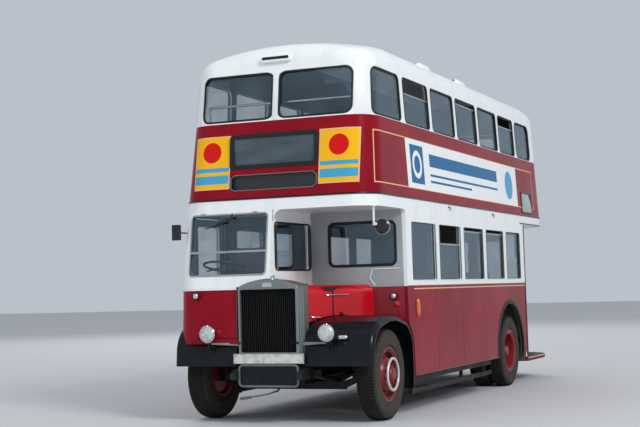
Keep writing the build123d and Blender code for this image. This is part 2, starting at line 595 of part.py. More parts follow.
door_zone = side_prism(door_y, CAB_DOOR["z"], CAB_DOOR["r"], door_x)
door_panel = side_prism((door_y[0] + DOOR_GAP, door_y[1] - DOOR_GAP),
                        (CAB_DOOR["z"][0] + DOOR_GAP,
                         CAB_DOOR["z"][1] - DOOR_GAP), CAB_DOOR["r"] - DOOR_GAP, door_x)
window_y = (station(CAB_DOOR_WINDOW["y"][0]), station(CAB_DOOR_WINDOW["y"][1]))
door_hole = side_prism(window_y, CAB_DOOR_WINDOW["z"], CAB_DOOR_WINDOW["r"], door_x)
door_pane = side_prism((window_y[0] + GAP, window_y[1] - GAP),
                       (CAB_DOOR_WINDOW["z"][0] + GAP, CAB_DOOR_WINDOW["z"][1] - GAP),
                       CAB_DOOR_WINDOW["r"] - GAP, door_x)
CAB_DOOR_HINGES = (CAB_DOOR["z"][0] + 90.0, CAB_DOOR["z"][1] - 370.0)
CAB_DOOR_AXIS_X = -1213.0 - HINGE_R - HINGE_CLEAR
cab_door = (cab & door_panel) - door_hole
near_wall = region(cab, (CAB_NEAR_X - CAB_WALL, FAR))
rest_of_cab = region(cab, (-FAR, CAB_NEAR_X - CAB_WALL))
nodes["cab_shell"] = region(rest_of_cab, y=(-6000, station(CAB_SPLIT)))
far_wall = region(rest_of_cab, y=(station(CAB_SPLIT), 6000)) - door_zone
leaf_x = (-1218.0, -1213.2)
root_x = (-1218.0, -1198.0)
for z in CAB_DOOR_HINGES:
    y = door_y[0]
    fixed, moving = knuckles((CAB_DOOR_AXIS_X, y, z), (CAB_DOOR_AXIS_X, y, z + HINGE_LENGTH), 3)
    for k in range(3):
        low = z + k * HINGE_LENGTH / 3 + KNUCKLE_GAP / 2
        high = low + HINGE_LENGTH / 3 - KNUCKLE_GAP
        if k % 2:
            cab_door = cab_door + slab(leaf_x, (y, y + LEAF_W), (low, high))
            cab_door = cab_door + slab(root_x, (y + DOOR_GAP + 2, y + LEAF_W), (low, high))
        else:
            far_wall = far_wall + slab(root_x, (y - LEAF_W, y), (low, high))
    for piece in fixed:
        far_wall = far_wall + piece
    for piece in moving:
        cab_door = cab_door + piece
nodes["cab_door"] = cab_door
nodes["cab_door_glass"] = pane_in(cab_layer, door_pane)
nodes["window_glass"] = cab_glass + upper_glass + lower_glass

# Bonnet: a top and a side in one lid, hinged beside the cab, wider at the bulkhead than at the radiator
BONNET_FRONT = RAD_FRONT + RAD_DEPTH + DOOR_GAP
BONNET_REAR = BULKHEAD - DOOR_GAP
BONNET_X0 = 8.0
BONNET_T = 12.0
BONNET_TOP = 1526.0


def bonnet_section(y, reach, inset):
    """The bonnet's outline at a station: flat top, round shoulder and upright side."""
    top = BONNET_TOP - inset
    x1 = reach - inset
    radius = 110.0 - inset
    low = 600.0
    outline = make_face([
        Line((BONNET_X0, low), (BONNET_X0, top)),
        Line((BONNET_X0, top), (x1 - radius, top)),
        ThreePointArc((x1 - radius, top), (x1 - radius * (1 - math.sqrt(0.5)),
                                           top - radius * (1 - math.sqrt(0.5))),
                      (x1, top - radius)),
        Line((x1, top - radius), (x1, low)),
        Line((x1, low), (BONNET_X0, low)),
    ])
    plane = Plane(origin=(0, station(y), 0), x_dir=(1, 0, 0), z_dir=(0, -1, 0))
    return plane * outline


bonnet_outer = loft([bonnet_section(BONNET_FRONT, RAD_HALF, 0), bonnet_section(BONNET_REAR, 790, 0)],
                    ruled=True)
bonnet_inner = loft([bonnet_section(BONNET_FRONT - 10, RAD_HALF - 3, BONNET_T),
                     bonnet_section(BONNET_REAR + 10, 793, BONNET_T)], ruled=True)
bonnet_inner = bonnet_inner + slab((BONNET_X0 - 10, BONNET_X0 + 60), (station(BONNET_FRONT) - 10,
                                   station(BONNET_REAR) + 10), (500, BONNET_TOP - BONNET_T))
bonnet = region(bonnet_outer - bonnet_inner, z=(900, 2000)) - wing_prism((-FAR, FAR), DOOR_GAP)
BONNET_AXIS = (18.0, 1532.0 + HINGE_R - 3)
BONNET_KNUCKLES = 5
fixed, moving = knuckles((BONNET_AXIS[0], station(BONNET_FRONT + 80), BONNET_AXIS[1]),
                         (BONNET_AXIS[0], station(BONNET_REAR - 20), BONNET_AXIS[1]), BONNET_KNUCKLES)
for piece in fixed:
    box = piece.bounding_box()
    arm = slab((-5, BONNET_AXIS[0]), (box.min.Y, box.max.Y), (BONNET_AXIS[1] - 3, BONNET_AXIS[1] + 3))
    near_wall = near_wall + piece + arm
for piece in moving:
    box = piece.bounding_box()
    arm = slab((BONNET_AXIS[0] - 4, BONNET_AXIS[0] + LEAF_W), (box.min.Y, box.max.Y),
               (BONNET_TOP - 4, BONNET_TOP + 4))
    bonnet = bonnet + arm + piece
nodes["bonnet"] = bonnet
nodes["cab_sides"] = [near_wall, far_wall]

# Radiator: a bright shell round a dark slatted grille
opening = end_prism((-GRILLE_HALF, GRILLE_HALF), (GRILLE_LOW, GRILLE_HIGH), 25,
                    (station(RAD_FRONT) - 20, station(RAD_FRONT) + RAD_DEPTH + 20))
radiator_shell = fillet(radiator_block.faces().sort_by(Axis.Y)[0].edges(), 14) - opening
for side in SIDES.values():
    foot = slab(half(side, GRILLE_HALF, RAIL_X - 10), (station(-545), station(-435)),
                (RAIL_TOP + GAP, RAD_BOTTOM + 12))
    radiator_shell = radiator_shell + foot
nodes["radiator_shell"] = radiator_shell
grille = end_prism((-GRILLE_HALF + GAP, GRILLE_HALF - GAP), (GRILLE_LOW + GAP, GRILLE_HIGH - GAP), 24,
                   (station(RAD_FRONT) + 60, station(RAD_FRONT) + 180))
SLATS = 30
for k in range(SLATS):
    x = -GRILLE_HALF + (k + 0.5) * 2 * GRILLE_HALF / SLATS
    grille = grille + slab((x - 3, x + 3), (station(RAD_FRONT) + 30, station(RAD_FRONT) + 61),
                           (GRILLE_LOW + 8, GRILLE_HIGH - 8))
nodes["radiator_grille"] = grille

# Front wings
wing_outer = wing_prism((WING_INNER, HALF_WIDTH))
wing_outer = fillet(wing_outer.faces().sort_by(Axis.X)[-1].edges(), WING_ROLL)
wing_room = wing_prism((0, HALF_WIDTH - SHEET), -SHEET)
wing_room = fillet(wing_room.faces().sort_by(Axis.X)[-1].edges(), WING_ROLL - SHEET)
wing = wing_outer - wing_room - wing_prism((WING_ROLL, FAR), -WING_ROLL - SHEET)
wing = (region(wing, (WING_SPLIT, FAR)) + region(wing, (WING_INNER, WING_SPLIT), (-6000, FRONT_AXLE))
        + region(wing, (WING_INNER, WING_SPLIT), (FRONT_AXLE, 6000), (AXLE_Z + 200, 2000)))
bonnet_room = loft([bonnet_section(BONNET_FRONT - 400, RAD_HALF - 160, -3),
                    bonnet_section(BONNET_REAR + 300, 930, -3)], ruled=True)
wing = region(wing, z=(WING_REAR_Z, 2000)) - bonnet_room
wing = wing - slab((0, 2000), (-6000, FRONT_AXLE), (0, WING_FRONT_Z))
nodes["front_wings"] = [wing, mirrored(wing)]

# Chassis frame: two channel rails with cross tubes and outriggers, and the bearers under the platform
RAIL_END = station(PLATFORM_START - 5)
rail_profile = Polyline((-LENGTH / 2, RAIL_BOTTOM), (-LENGTH / 2, RAIL_BOTTOM + 70), (station(-560), RAIL_TOP),
                        (RAIL_END, RAIL_TOP), (RAIL_END, PLATFORM_Z - PLATFORM_T),
                        (RAIL_END - 145, PLATFORM_Z - PLATFORM_T), (RAIL_END - 195, RAIL_BOTTOM),
                        (REAR_AXLE + 282, RAIL_BOTTOM), (REAR_AXLE + 222, 600), (REAR_AXLE - 222, 600),
                        (REAR_AXLE - 282, RAIL_BOTTOM), close=True)
yz_plane = Plane(origin=(RAIL_X - RAIL_W, 0, 0), x_dir=(0, 1, 0), z_dir=(1, 0, 0))
rail = extrude(yz_plane * make_face(rail_profile), RAIL_W)
channel = extrude(Plane(origin=(RAIL_X - RAIL_W, 0, 0), x_dir=(0, 1, 0), z_dir=(1, 0, 0))
                  * offset(make_face(rail_profile), -8, kind=Kind.INTERSECTION), RAIL_W - 8)
rail = rail - region(channel, y=(station(DUMB_IRON_END), 6000))
frame = rail + mirrored(rail)
# Cross tubes: station and radius
CROSS_TUBES = ((-690.0, 22.0), (1400.0, 40.0), (2300.0, 40.0), (3200.0, 40.0), (WHEELBASE - 578.0, 40.0),
               (PLATFORM_START - 300.0, 40.0))
for y, tube_r in CROSS_TUBES:
    frame = frame + rod((-RAIL_X + 4, station(y), 590), (RAIL_X - 4, station(y), 590), tube_r)
OUTRIGGERS = (765.0, 1730.0, 2770.0, 3800.0, PLATFORM_START - 110.0)
ARM_ROOT = (RAIL_X - 2, 520.0)
ARM_TIP = (HALF_WIDTH - WALL - 5, RAIL_TOP - 50)


def arm_under(x):
    """Height of an outrigger's under side at a distance from the middle."""
    return ARM_ROOT[1] + (x - ARM_ROOT[0]) * (ARM_TIP[1] - ARM_ROOT[1]) / (ARM_TIP[0] - ARM_ROOT[0])


for y in OUTRIGGERS:
    arm = Polyline(ARM_ROOT, (ARM_ROOT[0], RAIL_TOP), (ARM_TIP[0], RAIL_TOP), ARM_TIP, close=True)
    plane = Plane(origin=(0, station(y) + 25, 0), x_dir=(1, 0, 0), z_dir=(0, -1, 0))
    bracket = extrude(plane * make_face(arm), 50)
    frame = frame + bracket + mirrored(bracket)
TOW_BORE_R = 16.0
frame = frame - rod((-600, station(-765), RAIL_BOTTOM + 36), (600, station(-765), RAIL_BOTTOM + 36), TOW_BORE_R)
nodes["chassis_frame"] = frame
bearers = []
for side in SIDES.values():
    ends = (RAIL_END - 145, RAIL_END + 1305)
    levels = (PLATFORM_Z - PLATFORM_T - 50, PLATFORM_Z - PLATFORM_T)
    bearer = slab(half(side, RAIL_X - RAIL_W, RAIL_X), ends, levels)
    bearers.append(bearer - slab(half(side, RAIL_X - RAIL_W, RAIL_X - 8), ends, (levels[0] + 8, levels[1] - 8)))
nodes["platform_bearers"] = bearers

# Axles, springs and steering knuckles
SPRING_X = 535.0
SPRING_W = 80.0
BOSS_R = 38.0
BOSS_H = 110.0
beam_top = AXLE_Z - 80
beam = slab((-SPRING_X - 90, SPRING_X + 90), (FRONT_AXLE - 35, FRONT_AXLE + 35), (beam_top - 90, beam_top))
for side in SIDES.values():
    arm = make_face(Polyline((SPRING_X + 60, beam_top - 90), (SPRING_X + 60, beam_top),
                             (KINGPIN_X - 10, AXLE_Z + 20), (KINGPIN_X - 10, AXLE_Z - BOSS_H / 2 + 2),
                             (KINGPIN_X - BOSS_R - 8, AXLE_Z - BOSS_H / 2 + 2), close=True))
    plane = Plane(origin=(0, FRONT_AXLE + 30, 0), x_dir=(1, 0, 0), z_dir=(0, -1, 0))
    arm = extrude(plane * arm, 60)
    boss = Pos(KINGPIN_X, FRONT_AXLE, AXLE_Z) * Cylinder(BOSS_R, BOSS_H)
    pin = Pos(KINGPIN_X, FRONT_AXLE, AXLE_Z) * Cylinder(KINGPIN_R, BOSS_H + 70)
    end = arm + boss + pin
    beam = beam + (end if side > 0 else mirrored(end))
nodes["front_axle_beam"] = beam

knuckle_gap = 0.5
ear_low = BOSS_H / 2 + knuckle_gap
ear = Pos(KINGPIN_X, FRONT_AXLE, 0) * Cylinder(BOSS_R, 28)
knuckle = None
YOKE_X = 46.0
for sign in (1, -1):
    lug = Pos(0, 0, AXLE_Z + sign * (ear_low + 14)) * ear
    lug = lug + slab((KINGPIN_X, KINGPIN_X + YOKE_X + 22), (FRONT_AXLE - BOSS_R, FRONT_AXLE + BOSS_R),
                     (AXLE_Z + sign * (ear_low + 14) - 14, AXLE_Z + sign * (ear_low + 14) + 14))
    knuckle = lug if knuckle is None else knuckle + lug
knuckle = knuckle + slab((KINGPIN_X + YOKE_X, KINGPIN_X + YOKE_X + 22),
                         (FRONT_AXLE - BOSS_R, FRONT_AXLE + BOSS_R),
                         (AXLE_Z - ear_low - 28, AXLE_Z + ear_low + 28))
STUB_R = 34.0
stub_end = WHEEL_FRONT_FACE - 25
knuckle = knuckle + axle_drum((KINGPIN_X + YOKE_X + 10, stub_end), STUB_R, FRONT_AXLE)
knuckle = knuckle + slab((KINGPIN_X - 20, KINGPIN_X + 30), (FRONT_AXLE + BOSS_R - 12, FRONT_AXLE + 210),
                         (AXLE_Z - ear_low - 28, AXLE_Z - ear_low - 4))
knuckle = knuckle - Pos(KINGPIN_X, FRONT_AXLE, AXLE_Z) * Cylinder(KINGPIN_R + 0.05, BOSS_H + 200)
nodes["steering_knuckle_nearside"] = knuckle
nodes["steering_knuckle_offside"] = mirrored(knuckle)

CASING_R = 75.0
DIFF_R = 190.0
half_shaft = WHEEL_REAR_FACE - 60
casing = axle_drum((-half_shaft, half_shaft), 45, REAR_AXLE)
casing = casing + axle_drum((-640, 640), CASING_R, REAR_AXLE)
casing = casing + Pos(0, REAR_AXLE, AXLE_Z - 20) * Sphere(DIFF_R)
casing = casing & slab((-FAR, FAR), (REAR_AXLE - 300, REAR_AXLE + 300), (0, FLOOR_Z - FLOOR_T - 5))
nodes["rear_axle_casing"] = casing

springs = []
for axle_y, centre_z, reach in ((FRONT_AXLE, beam_top, 500.0), (REAR_AXLE, AXLE_Z - CASING_R - 60.4, 650.0)):
    leaves = Polyline((axle_y - 70, centre_z), (axle_y - reach, centre_z + 62), (axle_y - reach, centre_z + 78),
                      (axle_y, centre_z + 60), (axle_y + reach, centre_z + 78), (axle_y + reach, centre_z + 62),
                      (axle_y + 70, centre_z), close=True)
    plane = Plane(origin=(SPRING_X - SPRING_W / 2, 0, 0), x_dir=(0, 1, 0), z_dir=(1, 0, 0))
    pack = extrude(plane * make_face(leaves), SPRING_W)
    for end in (-1, 1):
        y = axle_y + end * (reach - 25)
        pack = pack + slab((RAIL_X + 0.3, SPRING_X), (y - 22, y + 22), (centre_z + 60, RAIL_BOTTOM + 90))
    springs += [pack, mirrored(pack)]
nodes["leaf_springs"] = springs

# Engine, gearbox and shaft, fuel tank
engine = slab((-290, 290), (station(-400), station(500)), (420, 1440)) - axle_drum((-400, 400), 150, FRONT_AXLE)
for y in (-330.0, 380.0):
    engine = engine + slab((-RAIL_X + 10, RAIL_X - 10), (station(y), station(y) + 60),
                           (RAIL_TOP + GAP, RAIL_TOP + 40))
nodes["engine_block"] = engine
gearbox = slab((-170, 170), (station(500.3), station(1240)), (380, 655)) + rod(
    (0, station(1200), 480), (0, REAR_AXLE - DIFF_R + 12, AXLE_Z - 20), 40)
for y, tube_r in CROSS_TUBES[1:]:
    gearbox = gearbox - rod((-RAIL_X, station(y), 590), (RAIL_X, station(y), 590), tube_r + 1)
nodes["gearbox_and_shaft"] = gearbox - casing
TANK = {"x": (-1080.0, -RAIL_X - 60), "y": (2100.0, 3250.0), "z": (280.0, 505.0), "r": 60.0, "hanger": 40.0}
tank = slab(TANK["x"], (station(TANK["y"][0]), station(TANK["y"][1])), TANK["z"])
tank = fillet(tank.edges().filter_by(Axis.Y), TANK["r"])
for y in (TANK["y"][0] + 100, TANK["y"][1] - 150):
    tank = tank + slab((-900, -870), (station(y), station(y) + TANK["hanger"]),
                       (TANK["z"][1] - 10, RAIL_TOP - GAP))
nodes["fuel_tank"] = tank

# Wheels and tyres, turned about the axle
def wheel(face_x, side, y, twin):
    """One wheel with its hub and drum, dished outwards at the front axle and inwards at the rear."""
    if twin:
        hub_r, hole, inner_face = 150.0, 45.3, face_x - 2 * TYRE_W - TWIN_GAP
        outer_rim = face_x - 12
        points = [(outer_rim, RIM_R - 6), (outer_rim, RIM_R - 22), (outer_rim - 190, RIM_R - 40),
                  (outer_rim - 200, hub_r), (outer_rim - 60, hub_r - 30), (outer_rim - 40, hub_r - 60),
                  (outer_rim - 40, 0), (outer_rim - 46, 0), (outer_rim - 46, hole), (inner_face + 40, hole),
                  (inner_face + 40, 215), (inner_face + 180, 215), (inner_face + 190, RIM_R - 40),
                  (inner_face + 12, RIM_R - 22), (inner_face + 12, RIM_R - 6)]
    else:
        hole = STUB_R + 0.3
        outer_rim = face_x - 12
        inner_face = face_x - TYRE_W
        points = [(outer_rim, RIM_R - 6), (outer_rim, RIM_R - 22), (outer_rim - 60, RIM_R - 42),
                  (outer_rim - 40, 180), (outer_rim - 16, 150), (outer_rim - 4, 90), (outer_rim + 6, 60),
                  (outer_rim + 6, 0), (stub_end + 1, 0), (stub_end + 1, hole), (KINGPIN_X + 85, hole),
                  (KINGPIN_X + 85, 205), (KINGPIN_X + 175, 205), (KINGPIN_X + 185, RIM_R - 40),
                  (inner_face + 12, RIM_R - 22), (inner_face + 12, RIM_R - 6)]
    profile = make_face(Plane.XY * Polyline(*points, close=True))
    solid = revolve(profile, Axis.X, 360)
    placed = Pos(0, y, AXLE_Z) * solid
    return placed if side > 0 else mirrored(placed)


def tyre(outer_x, side, y):
    """One tyre: beads, rounded walls and a flat tread."""
    x1 = outer_x
    x0 = outer_x - TYRE_W
    bead = RIM_R - 6 + GAP
    mid = (x0 + x1) / 2
    profile = make_face([
        Line((x0 + 14, bead), (x1 - 14, bead)),
        ThreePointArc((x1 - 14, bead), (x1, (bead + TYRE_R) / 2), (x1 - 26, TYRE_R - 22)),
        Line((x1 - 26, TYRE_R - 22), (x1 - 42, TYRE_R)),
        Line((x1 - 42, TYRE_R), (x0 + 42, TYRE_R)),
        Line((x0 + 42, TYRE_R), (x0 + 26, TYRE_R - 22)),
        ThreePointArc((x0 + 26, TYRE_R - 22), (x0, (bead + TYRE_R) / 2), (x0 + 14, bead)),
    ])
    placed = Pos(0, y, AXLE_Z) * revolve(profile, Axis.X, 360)
    return placed if side > 0 else mirrored(placed)


for name, side in SIDES.items():
    nodes["wheel_front_" + name] = wheel(WHEEL_FRONT_FACE, side, FRONT_AXLE, False)
    nodes["wheel_rear_" + name] = wheel(WHEEL_REAR_FACE, side, REAR_AXLE, True)
    nodes["tyre_front_" + name] = tyre(WHEEL_FRONT_FACE, side, FRONT_AXLE)
    nodes["tyres_rear_" + name] = [tyre(WHEEL_REAR_FACE, side, REAR_AXLE),
                                   tyre(WHEEL_REAR_FACE - TYRE_W - TWIN_GAP, side, REAR_AXLE)]

# Seats: station of the cushion's front edge, side, deck floor height, inner and outer edge
CUSHION = {"depth": 400.0, "t": 110.0, "top": 460.0}
BACK = {"t": 90.0, "top": 920.0, "lean": 60.0}


def seat(y, floor_z, x):
    """A double seat: its frame, and its cushion and back pad."""
    top = floor_z + CUSHION["top"]
    y1 = y + CUSHION["depth"]
    cushion = slab(x, (y, y1), (top - CUSHION["t"], top))
    back_low = top + 10
    back_high = floor_z + BACK["top"]
    plane = Plane(origin=(x[0], 0, 0), x_dir=(0, 1, 0), z_dir=(1, 0, 0))
    outline = make_face(Polyline((y1 - 40, back_low), (y1 - 40 + BACK["lean"], back_high),
                                 (y1 - 40 + BACK["lean"] + BACK["t"], back_high), (y1 - 40 + BACK["t"],
                                                                                   back_low),
                                 close=True))
    back = extrude(plane * outline, x[1] - x[0])
    board = make_face(Polyline((y1 - 40 + BACK["t"] + 0.5, back_low - 60),
                               (y1 - 40 + BACK["t"] + 0.5, back_low),
                               (y1 - 40 + BACK["lean"] + BACK["t"] + 0.5, back_high),
                               (y1 - 40 + BACK["lean"] + BACK["t"] + 0.5, back_high + 40),
                               (y1 - 40 + BACK["lean"] + BACK["t"] + 15, back_high + 40),
                               (y1 - 40 + BACK["t"] + 15, back_low - 60), close=True))
    under = top - CUSHION["t"] - 0.5
    frame_piece = extrude(plane * board, x[1] - x[0])
    frame_piece = frame_piece + slab(x, (y + 10, y1 - 40 + BACK["t"] + 10), (under - 25, under))
    frame_piece = frame_piece + slab(x, (y1 - 40 + BACK["t"] + 0.5, y1 - 40 + BACK["t"] + 15),
                                     (under - 25, back_low))
    leg_x = (x[0] + 60, x[0] + 100) if x[0] > 0 else (x[1] - 100, x[1] - 60)
    frame_piece = frame_piece + slab(leg_x, (y + 60, y1 - 60), (floor_z, under - 20))
    return frame_piece, [cushion, back]


SEAT_INNER = 300.0
PITCH = 720.0
# The lower rows fill the room between the first one and the benches over the rear wheels
SEAT_LENGTH = CUSHION["depth"] - 40 + BACK["lean"] + BACK["t"] + 15
BENCH_HALF = 690.0
LOWER_FIRST = 900.0
LOWER_PITCH = 690.0
LOWER_ROWS = int((WHEELBASE - BENCH_HALF - SEAT_LENGTH - LOWER_FIRST) // LOWER_PITCH) + 1
seat_rows = {
    "lower": [(station(LOWER_FIRST + k * LOWER_PITCH), FLOOR_Z, 1150.0, s) for k in range(LOWER_ROWS)
              for s in (1, -1)],
    "upper": [(station(150 + k * PITCH), UPPER_FLOOR_Z, 1080.0, 1) for k in range(9)]
    + [(station(150 + k * PITCH), UPPER_FLOOR_Z, 1080.0, -1) for k in range(7)],
}
seat_frames = []
seat_pads = []
for rows in seat_rows.values():
    for y, floor_z, reach, side in rows:
        frame_piece, pads = seat(y, floor_z, half(side, SEAT_INNER, reach))
        seat_frames.append(frame_piece)
        seat_pads += pads
for side in SIDES.values():
    seat_pads.append(slab(half(side, BOX_INNER + 10, 1140), (REAR_AXLE - BENCH_HALF, REAR_AXLE + BENCH_HALF),
                          (box_top + BOX_T + GAP, box_top + BOX_T + 90)))

# Driver's seat and steering wheel
DRIVER_X = -760.0
DRIVER_HALF = 220.0


def driver_slab(half_width, y, z):
    """A block of the driver's seat: half width, stations and heights above the cab floor."""
    return slab((DRIVER_X - half_width, DRIVER_X + half_width), (station(y[0]), station(y[1])),
                (CAB_FLOOR_Z + z[0], CAB_FLOOR_Z + z[1]))


seat_frames.append(driver_slab(200, (-20, 380), (0, 200)) + driver_slab(150, (370, 400.5), (0, 200))
                   + driver_slab(150, (490.3, 510), (0, 700)) + driver_slab(150, (380, 510), (0, 40)))
seat_pads.append(driver_slab(DRIVER_HALF, (-40, 400), (200.3, 330)))
seat_pads.append(driver_slab(DRIVER_HALF, (400.5, 490), (260, 800)))
nodes["seat_frames"] = seat_frames
nodes["seat_pads"] = seat_pads
wheel_centre = Vector(DRIVER_X, station(-270), CAB_FLOOR_Z + 560)
column_foot = Vector(DRIVER_X, station(-400), CAB_FLOOR_Z)
axis_dir = (wheel_centre - column_foot).normalized()
steer = extrude(Plane(origin=column_foot, z_dir=axis_dir) * Circle(25), (wheel_centre - column_foot).length)
steer = region(steer, z=(CAB_FLOOR_Z, 3000)) + Plane(origin=wheel_centre, z_dir=axis_dir) * Torus(235, 14)
for k in range(3):
    turn = Plane(origin=wheel_centre, z_dir=axis_dir).rotated((0, 0, 120 * k + 90))
    steer = steer + extrude(Plane(origin=wheel_centre, z_dir=turn.x_dir) * Circle(9), 232)
nodes["steering_wheel"] = steer

# Destination boxes behind the front panel
boxes = []
for half_width, low, high in BLINDS.values():
    boxes.append(end_prism((-half_width + GAP, half_width - GAP), (low + GAP, high - GAP), 14,
                           (station(-440), station(-250))))
nodes["destination_boxes"] = boxes

# Lamps, mirrors, rails and guards
LAMP_X = 728.0
LAMP_Z = 1007.0
LAMP_R = 98.0
lamps = []
for side in SIDES.values():
    bowl = revolve(make_face(Plane.XY * Polyline((0, 0), (0, LAMP_R - 12), (14, LAMP_R), (30, LAMP_R), (82, 52),
                                                 (94, 0), close=True)), Axis.X, 360)
    bowl = Pos(side * LAMP_X, station(-795), LAMP_Z) * Rot(0, 0, 90) * bowl
    stalk = rod((side * LAMP_X, station(-745), LAMP_Z - 60), (side * LAMP_X, station(-560), LAMP_Z - 260), 14)
    lamps.append(bowl + (stalk - wing_hollow))
nodes["headlamps"] = lamps

RAIL_R = 14.0
GUARD_RAIL_Z = UPPER_SILL_Z + 203.0
RAIL_FOOT_Z = UPPER_SILL_Z - 137.0
POLE_SETBACK = 85.0
poles = [
    rod((1165, station(PLATFORM_START + POLE_SETBACK), PLATFORM_Z),
        (1165, station(PLATFORM_START + POLE_SETBACK), CANOPY_Z), 16),
    rod((760, BODY_REAR - 80, PLATFORM_Z), (760, BODY_REAR - 80, CANOPY_Z), 16),
    rod((-900, station(-260), GUARD_RAIL_Z), (900, station(-260), GUARD_RAIL_Z), RAIL_R),
]
for side in SIDES.values():
    bends = [(side * 900, station(-260), GUARD_RAIL_Z), (side * 900, station(-260), RAIL_FOOT_Z),
             (side * 900, station(-400), RAIL_FOOT_Z)]
    poles[2] = poles[2] + rod(bends[0], bends[1], RAIL_R) + rod(bends[1], bends[2], RAIL_R)
poles[2] = poles[2] & body_block(UPPER_LEVELS, WALL + GAP)
nodes["handrails"] = poles

# A round mirror hangs from the rim on the nearside, and an upright one stands off the cab on the offside
MIRROR_REACH = 1320.0
MIRROR_R = 86.0
MIRROR_BACK = 34.0
OFF_MIRROR = {"w": 110.0, "h": 180.0, "front": -575.0, "t": 25.0, "inset": 45.0}
MIRROR_Z = CANOPY_Z - 232.0
ARM_X = 1145.0
MIRROR_STATION = -330.0
near_end = (ARM_X, station(MIRROR_STATION), MIRROR_Z)
near_arm = rod((ARM_X, station(MIRROR_STATION), CANOPY_Z), near_end, 10)
near_arm = near_arm + Pos(*near_end) * Sphere(10)
dish = make_face([
    ThreePointArc((0, -MIRROR_BACK), (MIRROR_R * 0.72, -MIRROR_BACK * 0.55), (MIRROR_R, 0)),
    Line((MIRROR_R, 0), (MIRROR_R, 8)),
    Line((MIRROR_R, 8), (0, 8)),
    Line((0, 8), (0, -MIRROR_BACK)),
])
near_head = Pos(MIRROR_REACH - MIRROR_R, station(MIRROR_STATION) + 24, MIRROR_Z) * revolve(dish, Axis.Y, 360)
near_arm = near_arm + rod(near_end, (MIRROR_REACH - MIRROR_R, station(MIRROR_STATION) + 10, MIRROR_Z), 8)
off_z = MIRROR_Z + 22
off_x = OFF_MIRROR["inset"] - MIRROR_REACH
off_y = station(OFF_MIRROR["front"])
off_arm = rod((-1190, station(-300), off_z), (off_x + 30, off_y + 15, off_z), 9)
off_head = slab((off_x, off_x + OFF_MIRROR["w"]), (off_y, off_y + OFF_MIRROR["t"]),
                (off_z - OFF_MIRROR["h"] / 2, off_z + OFF_MIRROR["h"] / 2))
off_arm = off_arm - level_block(CAB_HIGH, CAB_CORNER_R, cab_rear, 0, -GAP)
mirrors = [near_arm + near_head, off_arm + off_head]
nodes["mirrors"] = mirrors

guards = []
GUARD_RUN = (station(722), REAR_AXLE - 928)
GUARD_BRACKETS = (OUTRIGGERS[0] + 10, OUTRIGGERS[2], OUTRIGGERS[3])
for side in SIDES.values():
    guard = slab(half(side, 1140, 1165), GUARD_RUN, (230, 290))
    guard = guard + slab(half(side, 1140, 1165), GUARD_RUN, (370, 430))
    for y in GUARD_BRACKETS:
        guard = guard + slab(half(side, 1100, 1141), (station(y) - 20, station(y) + 20),
                             (225, arm_under(1100) - GAP))
    guards.append(guard)
nodes["side_guards"] = guards

plate = end_prism((-367, 367), (418, 668), 60, (station(-726), station(-712.3)))
nodes["front_boards"] = [plate, slab((-428, 428), (station(-733), station(-713.3)), (672, 785))]

for name, shape in nodes.items():
    solids = shape if isinstance(shape, list) else [shape]
    kept = []
    for item in solids:
        kept += item.solids()
    export_step(Compound(children=kept) if len(kept) > 1 else kept[0], "parts/" + name + ".step")
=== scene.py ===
"""The looks of a half-cab double decker bus: paint and lining, glass and rubbers, lamps, tyres and seats.

Metres. The front faces -Y, the nearside (the platform side) is +X and the ground is z = 0.
A station is a distance behind the front axle.
"""
import math

import bpy
from mathutils import Matrix, Vector


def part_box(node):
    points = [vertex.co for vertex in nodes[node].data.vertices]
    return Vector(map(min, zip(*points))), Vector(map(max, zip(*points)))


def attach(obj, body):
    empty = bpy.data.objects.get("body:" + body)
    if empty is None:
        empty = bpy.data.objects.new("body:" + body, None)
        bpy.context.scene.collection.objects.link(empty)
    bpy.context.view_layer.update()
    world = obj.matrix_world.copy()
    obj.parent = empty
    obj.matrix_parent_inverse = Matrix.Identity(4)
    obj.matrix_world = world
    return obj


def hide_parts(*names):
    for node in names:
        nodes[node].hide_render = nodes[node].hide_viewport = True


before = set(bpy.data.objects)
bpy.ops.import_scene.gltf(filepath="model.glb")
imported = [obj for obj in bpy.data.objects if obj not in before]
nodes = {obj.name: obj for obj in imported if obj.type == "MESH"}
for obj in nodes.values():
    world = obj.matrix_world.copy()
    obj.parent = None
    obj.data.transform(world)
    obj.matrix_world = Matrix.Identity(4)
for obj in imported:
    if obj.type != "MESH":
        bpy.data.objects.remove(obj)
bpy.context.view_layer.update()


def middle(node):
    """The centre of a node's box."""
    low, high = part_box(node)
    return (Vector(low) + Vector(high)) / 2


# Sizes taken from the frame
FRONT_AXLE = middle("tyre_front_nearside").y
REAR_AXLE = middle("tyres_rear_nearside").y
AXLE_Z = middle("tyre_front_nearside").z
TYRE_R = AXLE_Z
REAR_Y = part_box("roof")[1][1]
WAIST_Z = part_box("upper_front")[0][2]
CANOPY_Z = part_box("canopies")[0][2]
RADIATOR_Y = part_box("radiator_shell")[0][1]
PLATFORM_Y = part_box("rear_platform")[0][1]
PLATFORM_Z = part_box("rear_platform")[1][2]
BULKHEAD_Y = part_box("front_bulkhead")[0][1]
SIDES = {"nearside": 1, "offside": -1}

# Paint lines
RED_TOP = 1.492
BAND_TOP = 3.420
LINING_Z = 1.458

# The outside of each deck: height, half width and station of the front at its foot and its top
LOWER_SKIN = ((0.300, 1.219, -0.680), (2.530, 1.204, -0.520))
UPPER_SKIN = ((2.530, 1.204, -0.520), (4.470, 1.093, -0.265))
CAB_SKIN = ((1.530, 1.2107, -0.665), (2.390, 1.2049, -0.530))
CAB_LOW_SKIN = ((0.950, 1.2146, -0.690), (1.530, 1.2107, -0.665))
CORNER_R = 0.340
CAB_CORNER_R = 0.300
REAR_CORNER_R = 0.520


def station(y):
    """Y in the frame of a distance behind the front axle."""
    return FRONT_AXLE + y


